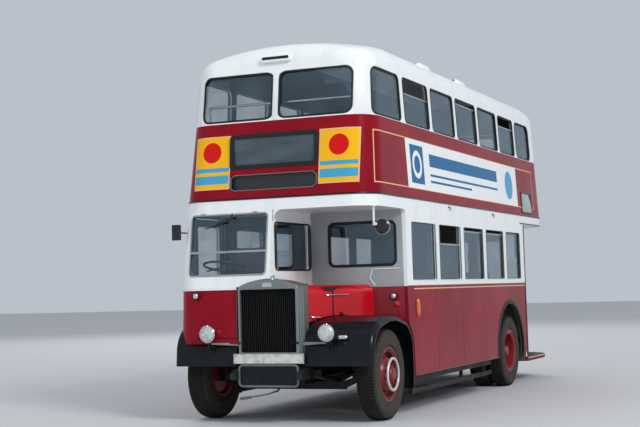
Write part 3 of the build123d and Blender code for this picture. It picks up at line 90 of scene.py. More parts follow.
def skin_at(skin, z):
    """Half width, and Y of the front, of a deck's outside at a height."""
    (z0, half0, front0), (z1, half1, front1) = skin
    share = (z - z0) / (z1 - z0)
    return half0 + share * (half1 - half0), station(front0 + share * (front1 - front0))


def side_x(skin, y, z, radius=CORNER_R):
    """Distance of a deck's outside from the middle plane at a place on its side or one of its corners."""
    half, front = skin_at(skin, z)
    into = front + radius - y
    if into > 0:
        return half - radius + math.sqrt(max(radius ** 2 - into ** 2, 0))
    into = y - (REAR_Y - REAR_CORNER_R)
    if into > 0:
        return half - REAR_CORNER_R + math.sqrt(max(REAR_CORNER_R ** 2 - into ** 2, 0))
    return half


def front_y(skin, x, z, radius=CORNER_R):
    """Y of a deck's outside at a place on its front or front corner."""
    half, front = skin_at(skin, z)
    into = abs(x) - (half - radius)
    if into <= 0:
        return front
    return front + radius - math.sqrt(max(radius ** 2 - into ** 2, 0))


def on_side(skin, side, radius=CORNER_R):
    """A rule that lays (u, v, height) on a deck's side, with u along the bus and v upwards."""
    return lambda u, v, w: (side * (side_x(skin, u, v, radius) + w), u, v)


def on_front(skin, radius=CORNER_R):
    """A rule that lays (u, v, height) on a deck's front, with u to the nearside and v upwards."""
    return lambda u, v, w: (u, front_y(skin, u, v, radius) - w, v)


def round_corner(skin, side):
    """A rule that lays (u, v, height) round a deck's front corner, with u along it from the flat front."""
    bend = CORNER_R * math.pi / 2

    def rule(u, v, w):
        half, front = skin_at(skin, v)
        if u > bend:
            return (side * (half + w), front + CORNER_R + u - bend, v)
        angle = max(u, 0.0) / CORNER_R
        reach = CORNER_R + w
        return (side * (half - CORNER_R + reach * math.sin(angle) + min(u, 0.0)),
                front + CORNER_R - reach * math.cos(angle), v)

    return rule


def facing_front(y):
    """A rule that lays (u, v, height) on an upright plane that faces forwards."""
    return lambda u, v, w: (u, y - w, v)


def facing_rear(y):
    """A rule that lays (u, v, height) on an upright plane that faces rearwards."""
    return lambda u, v, w: (u, y + w, v)


def facing_side(x, side):
    """A rule that lays (u, v, height) on an upright plane that faces one side."""
    return lambda u, v, w: (x + side * w, u, v)


def standing(place, way, stretch=1.0):
    """A rule that stands a turned piece at a place, with its axis along a direction of the bus."""
    x, y, z = place
    ways = {"front": lambda a, b, w: (x + a, y - w, z + b),
            "rear": lambda a, b, w: (x + a, y + w, z + b),
            "side": lambda a, b, w: (x + w, y + a, z + b),
            "up": lambda a, b, w: (x + a, y + b, z + w),
            "down": lambda a, b, w: (x + a, y + b, z - w)}
    return lambda a, b, w: ways[way](stretch * a, stretch * b, w)


def on_axle(side, y, flange):
    """A rule that lays (a, b, w) about an axle, with w outboard from the plane of the rim's flange."""
    return lambda a, b, w: (side * (flange + w), y + a, AXLE_Z + b)


# Colours, written as they look, in sRGB from 0 to 255
COLOURS = {
    "crimson": (150, 18, 34),
    "deep_crimson": (126, 14, 30),
    "bonnet_red": (206, 10, 26),
    "coach_white": (240, 243, 242),
    "cream_line": (232, 184, 134),
    "bead_dark": (30, 14, 24),
    "inside_cream": (112, 108, 98),
    "cab_inside": (56, 62, 63),
    "tube_brown": (70, 44, 34),
    "wing_blue": (9, 15, 24),
    "radiator_grey": (146, 152, 152),
    "slat_black": (6, 7, 7),
    "rubber_black": (16, 22, 24),
    "tyre_black": (34, 34, 33),
    "road_dust": (84, 78, 70),
    "chassis_black": (22, 23, 24),
    "moquette_red": (96, 26, 30),
    "moquette_fleck": (176, 132, 74),
    "floor_brown": (92, 70, 48),
    "bulkhead_grey_in_shade": (172, 181, 182),
    "glass_tint": (150, 176, 190),
    "board_yellow": (246, 184, 30),
    "board_blue": (72, 164, 204),
    "board_red": (214, 26, 26),
    "panel_blue": (24, 104, 156),
    "board_white": (214, 212, 202),
    "rim_grey": (112, 118, 117),
    "blind_grey": (70, 88, 98),
    "lens_grey": (176, 186, 186),
    "reflector_red": (190, 16, 40),
    "lamp_red": (120, 6, 10),
    "lamp_orange": (226, 110, 16),
    "pane_pale": (150, 176, 170),
}


def tint(name):
    """A colour from the table as the linear RGBA that a shader takes."""
    linear = []
    for part in COLOURS[name]:
        share = part / 255
        linear.append(share / 12.92 if share <= 0.04045 else ((share + 0.055) / 1.055) ** 2.4)
    return (*linear, 1.0)


def shaded(colour, share):
    """A colour made darker."""
    return (*(share * part for part in colour[:3]), 1.0)


class Sum:
    """A socket of a finish, with the arithmetic that its patterns use."""

    def __init__(self, finish, socket):
        self.finish = finish
        self.socket = socket

    def math(self, operation, *others):
        return self.finish.node("ShaderNodeMath", {"operation": operation}, dict(enumerate((self, *others))))

    def __add__(self, other):
        return self.math("ADD", other)

    __radd__ = __add__

    def __sub__(self, other):
        return self.math("SUBTRACT", other)

    def __rsub__(self, other):
        return self.finish.node("ShaderNodeMath", {"operation": "SUBTRACT"}, {0: other, 1: self})

    def __mul__(self, other):
        return self.math("MULTIPLY", other)

    __rmul__ = __mul__

    def __truediv__(self, other):
        return self.math("DIVIDE", other)

    def above(self, level):
        return self.math("GREATER_THAN", level)

    def below(self, level):
        return self.math("LESS_THAN", level)

    def between(self, low, high):
        return self.above(low) * self.below(high)

    def size(self):
        return self.math("ABSOLUTE")

    def wave(self, step):
        """Position within a repeating step, from 0 to 1."""
        return (self / step).math("FRACT")

    def spread(self, low, high, start=0.0, end=1.0):
        """This value taken from one range into another, held at its ends."""
        return self.finish.node("ShaderNodeMapRange", {"clamp": True},
                                {0: self, 1: low, 2: high, 3: start, 4: end})


class Finish:
    """One procedural material: a Principled shader, and short ways to feed its sockets."""

    def __init__(self, name, **sockets):
        self.material = bpy.data.materials.new(name)
        self.material.use_nodes = True
        self.tree = self.material.node_tree
        self.shader = self.tree.nodes["Principled BSDF"]
        for key, value in sockets.items():
            self.set(key, value)
        coordinates = self.tree.nodes.new("ShaderNodeTexCoord")
        self.place = Sum(self, coordinates.outputs["Object"])
        self.facing = Sum(self, coordinates.outputs["Normal"])

    def set(self, key, value):
        """Feeds the shader's socket named by words joined with underscores."""
        self.feed(self.shader.inputs[key.replace("_", " ").title().replace("Ior", "IOR")], value)

    def feed(self, socket, value):
        if isinstance(value, Sum):
            self.tree.links.new(value.socket, socket)
        else:
            socket.default_value = value

    def node(self, kind, settings, inputs, output=0):
        made = self.tree.nodes.new(kind)
        for key, value in settings.items():
            setattr(made, key, value)
        for key, value in inputs.items():
            self.feed(made.inputs[key], value)
        return Sum(self, made.outputs[output])

    def axes(self, vector=None):
        """X, Y and Z of a vector, which is the place if none is given."""
        split = self.tree.nodes.new("ShaderNodeSeparateXYZ")
        self.feed(split.inputs[0], vector or self.place)
        return [Sum(self, socket) for socket in split.outputs]

    def noise(self, scale, detail=3.0, stretch=(1, 1, 1), rough=0.55):
        vector = self.place
        if stretch != (1, 1, 1):
            vector = self.node("ShaderNodeVectorMath", {"operation": "MULTIPLY"}, {0: vector, 1: stretch})
        return self.node("ShaderNodeTexNoise", {}, {"Vector": vector, "Scale": scale, "Detail": detail,
                                                    "Roughness": rough})

    def mix(self, mask, first, second):
        """The first colour where the mask is 0, and the second where it is 1."""
        return self.node("ShaderNodeMix", {"data_type": "RGBA"}, {0: mask, 6: first, 7: second}, 2)

    def worn(self, wear, colour, share, low=0.3, high=0.7):
        """A colour made darker where a noise is high."""
        return self.mix(wear.spread(low, high), colour, shaded(colour, share))

    def bump(self, height, strength, distance):
        self.set("normal", self.node("ShaderNodeBump", {}, {"Strength": strength, "Distance": distance,
                                                             "Height": height}))


def box_mask(a, b, limits):
    """1 inside a rectangle (a0, a1, b0, b1) of two coordinates."""
    a0, a1, b0, b1 = limits
    return a.between(a0, a1) * b.between(b0, b1)


def line_mask(a, b, limits, width):
    """1 on a rectangle's border."""
    a0, a1, b0, b1 = limits
    return box_mask(a, b, limits) - box_mask(a, b, (a0 + width, a1 - width, b0 + width, b1 - width))


def disc_mask(a, b, centre, radius):
    """1 inside a circle of two coordinates."""
    across = a - centre[0]
    up = b - centre[1]
    return (across * across + up * up).below(radius ** 2)


def paint(name, colour, rough=0.16, shade=0.86, dusty=0.5, gloss=0.12):
    """A gloss coach paint of one colour, with slight unevenness, brush marks and dust low down."""
    finish = Finish(name, coat_weight=gloss, coat_roughness=0.12, specular_ior_level=0.15 + 2 * gloss)
    z = finish.axes()[2]
    patches = finish.noise(1.7, 4.0)
    streaks = finish.noise(5.0, 3.0, (1, 1, 0.12))
    dust = z.spread(0.25, 1.2, dusty, 0.0) * streaks
    base = finish.worn(patches, colour, shade)
    finish.set("base_color", finish.mix(dust * 0.6, base, (0.15, 0.13, 0.11, 1.0)))
    finish.set("roughness", patches.spread(0.3, 0.7, rough * 0.8, rough * 1.4) + dust * 0.4)
    finish.bump(finish.noise(30.0, 2.0) + 2.0 * finish.noise(2.4, 1.0), 0.04, 0.006)
    return finish.material


# Lining and panels of the upper deck: rectangles of Y or X against Z
LINE_W = 0.014
SIDE_FRAME = (station(-0.318), station(6.66), 2.652, 3.256)
FRONT_LEAN = 0.1314
SIDE_PANEL = (station(0.72), station(5.70), 2.660, 3.248)
FRONT_PANELS = ((-1.015, -0.565, 2.668, 3.262), (0.575, 1.022, 2.668, 3.262))


def side_panel(finish, y, z, ground):
    """A generic board of blue bars, a ring and a disc on white, over a ground colour."""
    y0, y1, z0, z1 = SIDE_PANEL
    centre = (z0 + z1) / 2
    blue = tint("panel_blue")
    white = tint("coach_white")
    board = finish.mix(box_mask(y, z, SIDE_PANEL), ground, white)
    block = box_mask(y, z, (y0 + 0.14, y0 + 0.62, z0 + 0.06, z1 - 0.06))
    ring = disc_mask(y, z, (y0 + 0.38, centre), 0.17) - disc_mask(y, z, (y0 + 0.38, centre), 0.11)
    board = finish.mix(block - ring, board, blue)
    for low, high, end in ((0.30, 0.46, 3.90), (0.18, 0.21, 3.90), (0.10, 0.13, 2.60)):
        board = finish.mix(box_mask(y, z, (y0 + 0.85, y0 + end, z0 + low, z0 + high)), board, blue)
    return finish.mix(disc_mask(y, z, (y1 - 0.45, centre), 0.21), board, tint("board_blue"))


def front_panel(finish, x, z, limits, ground):
    """A generic yellow board with a red disc over two blue bars."""
    x0, x1, z0, _ = limits
    board = finish.mix(box_mask(x, z, limits), ground, tint("board_yellow"))
    for low, high in ((0.05, 0.15), (0.19, 0.24)):
        board = finish.mix(box_mask(x, z, (x0, x1, z0 + low, z0 + high)), board, tint("board_blue"))
    return finish.mix(disc_mask(x, z, ((x0 + x1) / 2, z0 + 0.42), 0.12), board, tint("board_red"))


def coachwork(name, inside="inside_cream"):
    """The livery: crimson below, white round the windows, crimson between the decks, and a plain inside.

    Heights choose the colour on outward faces, and rectangles the lining and boards. Faces that look
    inwards get the inside paint.
    """
    finish = Finish(name, coat_weight=0.02, coat_roughness=0.12, specular_ior_level=0.09)
    x, y, z = finish.axes()
    facing_x, facing_y, _ = finish.axes(finish.facing)
    patches = finish.noise(1.4, 4.0)
    streaks = finish.noise(6.0, 3.0, (1, 1, 0.08))
    red = z.below(RED_TOP)
    band = z.between(WAIST_Z - 0.002, BAND_TOP)
    pale = tint("coach_white")
    white = finish.mix(streaks.spread(0.5, 0.8, 0.0, 0.6), pale, shaded(pale, 0.84))
    crimson = finish.mix(patches.spread(0.3, 0.7), tint("crimson"), tint("deep_crimson"))
    dust = z.spread(0.3, 1.2, 0.45, 0.0) * streaks
    lower = finish.mix(dust * 0.6, crimson, (0.17, 0.10, 0.08, 1.0))
    outside = finish.mix(red, white, lower)
    outside = finish.mix(band, outside, crimson)
    sideways = facing_x.size().above(0.6)
    forwards = facing_y.below(-0.6)
    upper = z.above(WAIST_Z)
    cream = tint("cream_line")
    leaned = y - (z - SIDE_FRAME[2]) * FRONT_LEAN
    y0, y1, z0, z1 = SIDE_FRAME
    whole = leaned.above(y0) * y.below(y1) * z.between(z0, z1)
    inner = leaned.above(y0 + LINE_W) * y.below(y1 - LINE_W) * z.between(z0 + LINE_W, z1 - LINE_W)
    boards = finish.mix(whole - inner, outside, cream)
    boards = side_panel(finish, y, z, boards)
    outside = finish.mix(sideways * upper, outside, boards)
    boards = outside
    for limits in FRONT_PANELS:
        grown = (limits[0] - LINE_W, limits[1] + LINE_W, limits[2] - LINE_W, limits[3] + LINE_W)
        boards = finish.mix(line_mask(x, z, grown, LINE_W), boards, cream)
        boards = front_panel(finish, x, z, limits, boards)
    outside = finish.mix(forwards * upper, outside, boards)
    lining = z.between(LINING_Z - LINE_W / 2, LINING_Z + LINE_W / 2) * y.above(station(0.757)) * sideways
    outside = finish.mix(lining, outside, cream)
    from_middle = x * facing_x + (y + 0.4) * facing_y * 0.35
    inner = from_middle.below(-0.05)
    worn = finish.worn(patches, tint(inside), 0.75)
    finish.set("base_color", finish.mix(inner, outside, worn))
    finish.set("roughness", patches.spread(0.3, 0.7, 0.14, 0.24) + inner * 0.35 + dust * 0.35)
    finish.bump(finish.noise(30.0, 2.0) + 2.0 * finish.noise(2.2, 1.0), 0.05, 0.006)
    return finish.material


def bulkhead_paint():
    """The wall behind the bonnet and cab: pale grey over crimson on the nearside, the grey partly painted
    shade under the canopy, and dull behind the driver.
    """
    finish = Finish("bulkhead_paint", coat_weight=0.2)
    x, _, z = finish.axes()
    facing_y = finish.axes(finish.facing)[1]
    patches = finish.noise(2.4, 4.0)
    # Pale grey, darker than the coach white: partly painted shade under the canopy.
    pale = finish.worn(patches, tint("bulkhead_grey_in_shade"), 0.8)
    lower = finish.mix(patches.spread(0.3, 0.7), tint("deep_crimson"), tint("crimson"))
    nearside = finish.mix(z.below(RED_TOP), pale, lower)
    outside = finish.mix(x.above(-0.02), tint("cab_inside"), nearside)
    finish.set("base_color", finish.mix(facing_y.below(0.5), tint("inside_cream"), outside))
    finish.set("roughness", patches.spread(0.3, 0.7, 0.22, 0.4))
    finish.bump(finish.noise(24.0, 2.0), 0.06, 0.004)
    return finish.material


def tyre_rubber():
    """Tyre rubber, dusty on its walls."""
    finish = Finish("tyre_rubber", specular_ior_level=0.3)
    facing_x = finish.axes(finish.facing)[0]
    patches = finish.noise(3.1, 4.0)
    fine = finish.noise(45.0, 3.0)
    dust = facing_x.size().spread(0.5, 0.95) * fine.spread(0.3, 0.7, 0.25, 0.75)
    rubber = finish.worn(patches, tint("tyre_black"), 0.6)
    finish.set("base_color", finish.mix(dust, rubber, tint("road_dust")))
    finish.set("roughness", patches.spread(0.3, 0.7, 0.75, 1.0))
    finish.bump(fine, 0.25, 0.004)
    return finish.material


def glass():
    """Clear flat glass that reflects more at a slant."""
    finish = Finish("window_glass", metallic=1.0, base_color=tint("glass_tint"))
    slant = finish.node("ShaderNodeLayerWeight", {}, {"Blend": 0.5}, 1).math("POWER", 4.0)
    smear = finish.noise(2.5, 3.0)
    finish.set("alpha", slant * 0.9 + smear.spread(0.35, 0.75, 0.13, 0.22))
    finish.set("roughness", smear.spread(0.4, 0.7, 0.015, 0.05))
    return finish.material


def plain(name, colour, rough, metal=0.0, grain=25.0, depth=0.05, distance=0.003, spread=0.8, coat=0.0):
    """A finish of one colour, darkened in patches, with a fine grain."""
    finish = Finish(name, metallic=metal, coat_weight=coat)
    patches = finish.noise(3.1, 4.0)
    fine = finish.noise(grain, 3.0)
    finish.set("base_color", finish.worn(patches, colour, spread))
    grains = patches * 0.6 + fine * 0.4
    finish.set("roughness", grains.spread(0.3, 0.7, rough * 0.8, min(rough * 1.25, 1.0)))
    finish.bump(fine, depth, distance)
    return finish.material


def boards():
    """Slatted floor boards: narrow dark battens along the bus over worn brown, with crimson edges."""
    finish = Finish("floor_boards")
    x = finish.axes()[0]
    facing_z = finish.axes(finish.facing)[2]
    slat = x.wave(0.045)
    gap = slat.below(0.22)
    wear = finish.noise(4.0, 4.0, (1, 0.3, 1))
    brown = finish.worn(wear, tint("floor_brown"), 0.5)
    top = finish.mix(gap, brown, shaded(tint("floor_brown"), 0.25))
    edge = finish.mix(wear.spread(0.3, 0.7), tint("crimson"), tint("deep_crimson"))
    finish.set("base_color", finish.mix(facing_z.size().below(0.5), top, edge))
    finish.set("roughness", wear.spread(0.3, 0.7, 0.5, 0.8))
    finish.bump((1.0 - gap) + finish.noise(60.0, 2.0) * 0.3, 0.5, 0.003)
    return finish.material


def moquette():
    """A woven seat cloth: dark red with small cream and black flecks in rows."""
    finish = Finish("moquette", sheen_weight=0.35, sheen_roughness=0.4)
    x, y, z = finish.axes()
    repeat = 0.034
    along = (y + z).wave(repeat) - 0.5
    across = x.wave(repeat) - 0.5
    fleck = (along.size() + across.size()).below(0.2)
    dark_along = ((y + z + repeat / 2).wave(repeat) - 0.5).size().below(0.12)
    dark = dark_along * ((x + repeat / 2).wave(repeat) - 0.5).size().below(0.2)
    wear = finish.noise(3.0, 3.0)
    cloth = finish.worn(wear, tint("moquette_red"), 0.7)
    cloth = finish.mix(fleck, cloth, tint("moquette_fleck"))
    finish.set("base_color", finish.mix(dark, cloth, (0.012, 0.010, 0.012, 1.0)))
    finish.set("roughness", wear.spread(0.3, 0.7, 0.85, 1.0))
    finish.bump(finish.noise(420.0, 2.0) + (along * across) * 4.0, 0.4, 0.002)
    return finish.material


def front_boards_paint():
    """A white slip board over a black plate, told apart by height."""
    finish = Finish("front_boards_paint", specular_ior_level=0.2)
    z = finish.axes()[2]
    wear = finish.noise(14.0, 4.0)
    white = finish.worn(wear, tint("board_white"), 0.6, 0.45)
    black = finish.mix(wear.spread(0.45, 0.7), (0.008, 0.010, 0.010, 1.0), (0.014, 0.016, 0.016, 1.0))
    finish.set("base_color", finish.mix(z.below(0.670), white, black))
    finish.set("roughness", wear.spread(0.3, 0.7, 0.25, 0.45))
    finish.bump(wear, 0.08, 0.002)
    return finish.material


def blind_glass():
    """The destination boxes behind their glass: a grey-blue blind in the upper one, a black one below."""
    finish = Finish("blind_cloth", coat_weight=0.5, coat_roughness=0.03)
    z = finish.axes()[2]
    folds = finish.noise(3.0, 3.0, (0.6, 1, 2.5))
    grey = finish.worn(folds, tint("blind_grey"), 0.6, 0.35)
    black = finish.mix(folds.spread(0.35, 0.7), (0.010, 0.014, 0.016, 1.0), (0.022, 0.028, 0.03, 1.0))
    finish.set("base_color", finish.mix(z.below(2.85), grey, black))
    finish.set("roughness", folds.spread(0.3, 0.7, 0.35, 0.6))
    finish.bump(folds, 0.3, 0.01)
    return finish.material


def lamp_glass():
    """Fluted lamp glass with its bright reflector painted in: pale upright flutes of painted highlight,
    painted shade in the gaps between them, and near-white patches of painted highlight.
    """
    finish = Finish("lamp_glass", metallic=0.35, coat_weight=1.0, coat_roughness=0.03)
    x = finish.axes()[0]
    flutes = (x.wave(0.017) - 0.5).size() * 2.0
    highlight_patches = finish.noise(22.0, 3.0)
    # Painted highlight: near-white patches over the pale grey lens stand in for glints on the glass.
    pale = finish.mix(highlight_patches.spread(0.35, 0.65), tint("lens_grey"), (0.86, 0.90, 0.90, 1.0))
    # Painted shade in the gaps between the flutes.
    flute_shade = shaded(tint("lens_grey"), 0.45)
    finish.set("base_color", finish.mix(flutes.spread(0.2, 1.0, 0.0, 0.5), pale, flute_shade))
    finish.set("roughness", highlight_patches.spread(0.3, 0.7, 0.12, 0.3))
    finish.bump(flutes, 0.5, 0.003)
    return finish.material


CHROME = (0.82, 0.84, 0.85, 1.0)
ALLOY = (0.56, 0.58, 0.59, 1.0)
BLACK = (0.008, 0.008, 0.009, 1.0)
# Finishes by name, with the record's material slot that pieces with them belong to
FINISHES = {
    "coachwork": (coachwork("coachwork_paint"), "crimson_paint"),
    "cab": (coachwork("cab_paint", "cab_inside"), "crimson_paint"),
    "bonnet": (paint("bonnet_paint", tint("bonnet_red"), 0.14, 0.8), "bonnet_paint"),
    "crimson": (paint("crimson_trim", tint("deep_crimson"), 0.2, 0.8), "crimson_paint"),
    "white": (paint("white_trim", tint("coach_white"), 0.25, 0.9, 0.1), "white_paint"),
    "wing": (paint("wing_paint", tint("wing_blue"), 0.24, 0.7, 0.2, 0.04), "wing_paint"),
    "bead": (paint("bead_paint", tint("bead_dark"), 0.25, 0.8), "maroon_paint"),
    "wheel": (paint("wheel_paint", tint("crimson"), 0.28, 0.7), "wheel_paint"),
    "glass": (glass(), "glass"),
    "radiator": (plain("radiator_metal", tint("radiator_grey"), 0.36, 0.6, 60.0, 0.12), "radiator_metal"),
    "slats": (plain("slat_black", tint("slat_black"), 0.6), "grille_black"),
    "rubber": (plain("window_rubber", tint("rubber_black"), 0.5), "wheel_rubber"),
    "tyre": (tyre_rubber(), "tyre"),
    "chassis": (plain("chassis_paint", tint("chassis_black"), 0.6, 0.0, 20.0, 0.2, 0.004, 0.6),
                "chassis_paint"),
    "chrome": (plain("polished_chrome", CHROME, 0.08, 1.0, 12.0, 0.01), "lamp_chrome"),
    "alloy": (plain("window_alloy", ALLOY, 0.34, 0.9, 40.0, 0.05), "radiator_metal"),
    "bulkhead": (bulkhead_paint(), "inside_paint"),
    "inside": (plain("inside_paint", tint("inside_cream"), 0.5), "inside_paint"),
    "cab_inside": (plain("cab_inside_paint", tint("cab_inside"), 0.5), "inside_paint"),
    "floor": (boards(), "floor_wood"),
    "tube": (plain("seat_tube", tint("tube_brown"), 0.5), "seat_metal"),
    "black": (plain("black_enamel", BLACK, 0.25, coat=0.3), "board_black"),
    "moquette": (moquette(), "seat_cloth"),
    "boards": (front_boards_paint(), "board_black"),
    "blinds": (blind_glass(), "board_black"),
    "guard": (plain("guard_ring_silver", (0.74, 0.75, 0.75, 1.0), 0.30, 0.4, 40.0, 0.03), "radiator_metal"),
    "rim": (plain("plate_rim", tint("rim_grey"), 0.4, 0.3, 40.0, 0.08), "radiator_metal"),
    "notice": (plain("blank_notice", tint("board_white"), 0.6), "white_paint"),
    "lens": (lamp_glass(), "lamp_chrome"),
    "reflector": (plain("red_reflector", tint("reflector_red"), 0.15, coat=1.0), "crimson_paint"),
    "orange": (plain("orange_lamp", tint("lamp_orange"), 0.15, coat=1.0), "lamp_chrome"),
    "pane": (plain("pale_pane", tint("pane_pale"), 0.12, coat=1.0), "glass"),
    # Near-black glass plates: painted shade of the dark insides behind windows.
    "painted_shade_glass": (plain("painted_shade_glass", (0.010, 0.016, 0.018, 1.0), 0.05, coat=0.5), "glass"),
    "lamp_red": (plain("red_lamp", tint("lamp_red"), 0.12, coat=1.0), "crimson_paint"),
}
NODE_FINISHES = {
    "bonnet": ("bonnet",),
    "cab": ("cab_door", "cab_shell", "cab_sides"),
    "cab_inside": ("cab_floor",),
    "glass": ("cab_door_glass", "emergency_door_glass", "window_glass"),
    "coachwork": ("canopies", "emergency_door", "lower_rear", "lower_side_nearside", "lower_side_offside",
                  "rear_bulkhead", "roof", "upper_front", "upper_rear", "upper_side_nearside",
                  "upper_side_offside"),
    "chassis": ("chassis_frame", "engine_block", "front_axle_beam", "fuel_tank", "gearbox_and_shaft",
                "leaf_springs", "platform_bearers", "rear_axle_casing", "side_guards",
                "steering_knuckle_nearside", "steering_knuckle_offside"),
    "blinds": ("destination_boxes",),
    "boards": ("front_boards",),
    "bulkhead": ("front_bulkhead",),
    "wing": ("front_wings",),
    "chrome": ("handrails", "headlamps"),
    "floor": ("lower_floor", "rear_platform", "upper_floor"),
    "black": ("mirrors", "steering_wheel"),
    "slats": ("radiator_grille",),
    "radiator": ("radiator_shell",),
    "tube": ("seat_frames",),
    "moquette": ("seat_pads",),
    "inside": ("staircase", "wheel_boxes"),
    "tyre": ("tyre_front_nearside", "tyre_front_offside", "tyres_rear_nearside", "tyres_rear_offside"),
    "wheel": ("wheel_front_nearside", "wheel_front_offside", "wheel_rear_nearside", "wheel_rear_offside"),
}
for finish_name, members in NODE_FINISHES.items():
    for member in members:
        for slot in nodes[member].material_slots:
            slot.material = FINISHES[finish_name][0]


# Making of pieces. A piece is shaped flat or upright at the origin, then laid by a rule that takes its own
# (u, v, w) to a place on the bus, so every object stays at the origin with its place in its mesh.
def start(kind, **settings):
    """Adds a primitive and opens it in edit mode with all of it selected."""
    bpy.ops.object.select_all(action="DESELECT")
    getattr(bpy.ops.mesh, "primitive_" + kind + "_add")(**settings)
    bpy.ops.object.mode_set(mode="EDIT")
    bpy.ops.mesh.select_all(action="SELECT")
    return bpy.context.object


def modify(piece, kind, **settings):
    """Adds a modifier to the active piece and applies it."""
    modifier = piece.modifiers.new(kind, kind)
    for key, value in settings.items():
        setattr(modifier, key, value)
    bpy.ops.object.modifier_apply(modifier=modifier.name)


def as_it_is(u, v, w):
    """Leaves a point where it is."""
    return (u, v, w)


def lay(piece, rule=as_it_is):
    """Moves every point by a rule, joins doubles and turns the faces outwards."""
    for vertex in piece.data.vertices:
        vertex.co = rule(*vertex.co)
    bpy.ops.object.mode_set(mode="EDIT")
    bpy.ops.mesh.select_all(action="SELECT")
    bpy.ops.mesh.remove_doubles(threshold=0.00002)
    bpy.ops.mesh.normals_make_consistent(inside=False)
    bpy.ops.object.mode_set(mode="OBJECT")
    return piece


def rounded(u, v, radius, border=None, cuts=(), corner_steps=6):
    """A flat rounded rectangle, or its border of a given width, cut across at some values of u."""
    piece = start("plane", size=1)
    bpy.ops.transform.resize(value=(u[1] - u[0], v[1] - v[0], 1))
    bpy.ops.transform.translate(value=((u[0] + u[1]) / 2, (v[0] + v[1]) / 2, 0))
    bpy.ops.mesh.bevel(affect="VERTICES", offset=radius, segments=corner_steps)
    if border:
        bpy.ops.mesh.inset(thickness=border)
        bpy.ops.mesh.delete(type="FACE")
    for cut in cuts:
        bpy.ops.mesh.select_all(action="SELECT")
        bpy.ops.mesh.bisect(plane_co=(cut, 0, 0), plane_no=(1, 0, 0))
    bpy.ops.object.mode_set(mode="OBJECT")
    return piece


def thick(piece, low, high, edge, rule):
    """Gives a flat piece its thickness between two heights, eases its edges and lays it."""
    modify(piece, "SOLIDIFY", thickness=high - low, offset=1.0)
    for vertex in piece.data.vertices:
        vertex.co.z += low
    if edge:
        modify(piece, "BEVEL", width=edge, segments=2, limit_method="ANGLE", angle_limit=math.radians(50))
    return lay(piece, rule)


def ring(u, v, radius, inner, outer, low, high, rule, cuts=(), edge=0.003):
    """A rounded frame that reaches inner into a rectangle and outer beyond it."""
    border = inner + outer
    flat = rounded((u[0] - outer, u[1] + outer), (v[0] - outer, v[1] + outer), radius + outer, border, cuts)
    return thick(flat, low, high, edge, rule)


def plate(u, v, radius, low, high, rule, cuts=(), edge=0.003):
    """A rounded plate."""
    return thick(rounded(u, v, radius, None, cuts), low, high, edge, rule)


def block(x, y, z, edge=0.003, rule=as_it_is):
    """A bar or block between limits, with eased edges."""
    piece = start("cube", size=1)
    bpy.ops.transform.resize(value=(x[1] - x[0], y[1] - y[0], z[1] - z[0]))
    bpy.ops.transform.translate(value=(sum(x) / 2, sum(y) / 2, sum(z) / 2))
    bpy.ops.mesh.bevel(offset=edge, segments=2, affect="EDGES")
    bpy.ops.object.mode_set(mode="OBJECT")
    return lay(piece, rule)


def turned(rows, steps, rule=as_it_is, shape=None):
    """A surface of revolution from rows of (distance along the axis, radius).

    shape may change a point's distance and radius by its column round the axis.
    """
    piece = start("grid", x_subdivisions=steps, y_subdivisions=len(rows) - 1, size=2)
    bpy.ops.object.mode_set(mode="OBJECT")
    for vertex in piece.data.vertices:
        column = round((vertex.co.x + 1) / 2 * steps)
        row = round((vertex.co.y + 1) / 2 * (len(rows) - 1))
        along, radius = rows[row]
        if shape:
            along, radius = shape(along, radius, column % steps)
        angle = math.tau * column / steps
        vertex.co = (radius * math.cos(angle), radius * math.sin(angle), along)
    return lay(piece, rule)


def sheet(columns, place):
    """A flat strip of faces, placed by a function of (share of its length, whether on its second edge)."""
    piece = start("grid", x_subdivisions=columns, y_subdivisions=1, size=2)
    bpy.ops.object.mode_set(mode="OBJECT")
    for vertex in piece.data.vertices:
        vertex.co = (*place((vertex.co.x + 1) / 2, vertex.co.y > 0), 0)
    return piece


def tube(points, radius, closed=False, roundness=2):
    """A round bar, bead or pipe along points."""
    data = bpy.data.curves.new("bar", "CURVE")
    data.dimensions = "3D"
    spline = data.splines.new("POLY")
    spline.points.add(len(points) - 1)
    for point, place in zip(spline.points, points):
        point.co = (*place, 1)
    spline.use_cyclic_u = closed
    data.bevel_depth = radius
    data.bevel_resolution = roundness
    data.use_fill_caps = not closed
    bpy.ops.object.select_all(action="DESELECT")
    piece = bpy.data.objects.new("bar", data)
    bpy.context.scene.collection.objects.link(piece)
    piece.select_set(True)
    bpy.context.view_layer.objects.active = piece
    bpy.ops.object.convert(target="MESH")
    return lay(bpy.context.object)


def laid_copy(pattern, rule):
    """A copy of a piece, with its own mesh laid by a rule."""
    copy = bpy.data.objects.new(pattern.name, pattern.data.copy())
    bpy.context.scene.collection.objects.link(copy)
    bpy.ops.object.select_all(action="DESELECT")
    copy.select_set(True)
    bpy.context.view_layer.objects.active = copy
    return lay(copy, rule)


def copied(pattern, rules):
    """A copy of a piece for each rule. The pattern itself is used up."""
    made = [laid_copy(pattern, rule) for rule in rules]
    bpy.data.objects.remove(pattern)
    return made


def merged(parts):
    """Joins parts into one object."""
    bpy.ops.object.select_all(action="DESELECT")
    for part in parts:
        part.select_set(True)
    bpy.context.view_layer.objects.active = parts[0]
    if len(parts) > 1:
        bpy.ops.object.join()
    return parts[0]


def joined(name, parts, finish, body="root", smooth=40, replaces=()):
    """Joins parts into one piece with a finish and the body that it rides on."""
    piece = merged(parts)
    piece.name = name
    piece.data.name = name
    material, slot_name = FINISHES[finish]
    piece.data.materials.clear()
    piece.data.materials.append(material)
    bpy.ops.object.shade_smooth_by_angle(angle=math.radians(smooth))
    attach(piece, body)
    for node in replaces:
        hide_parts(node)
    return piece


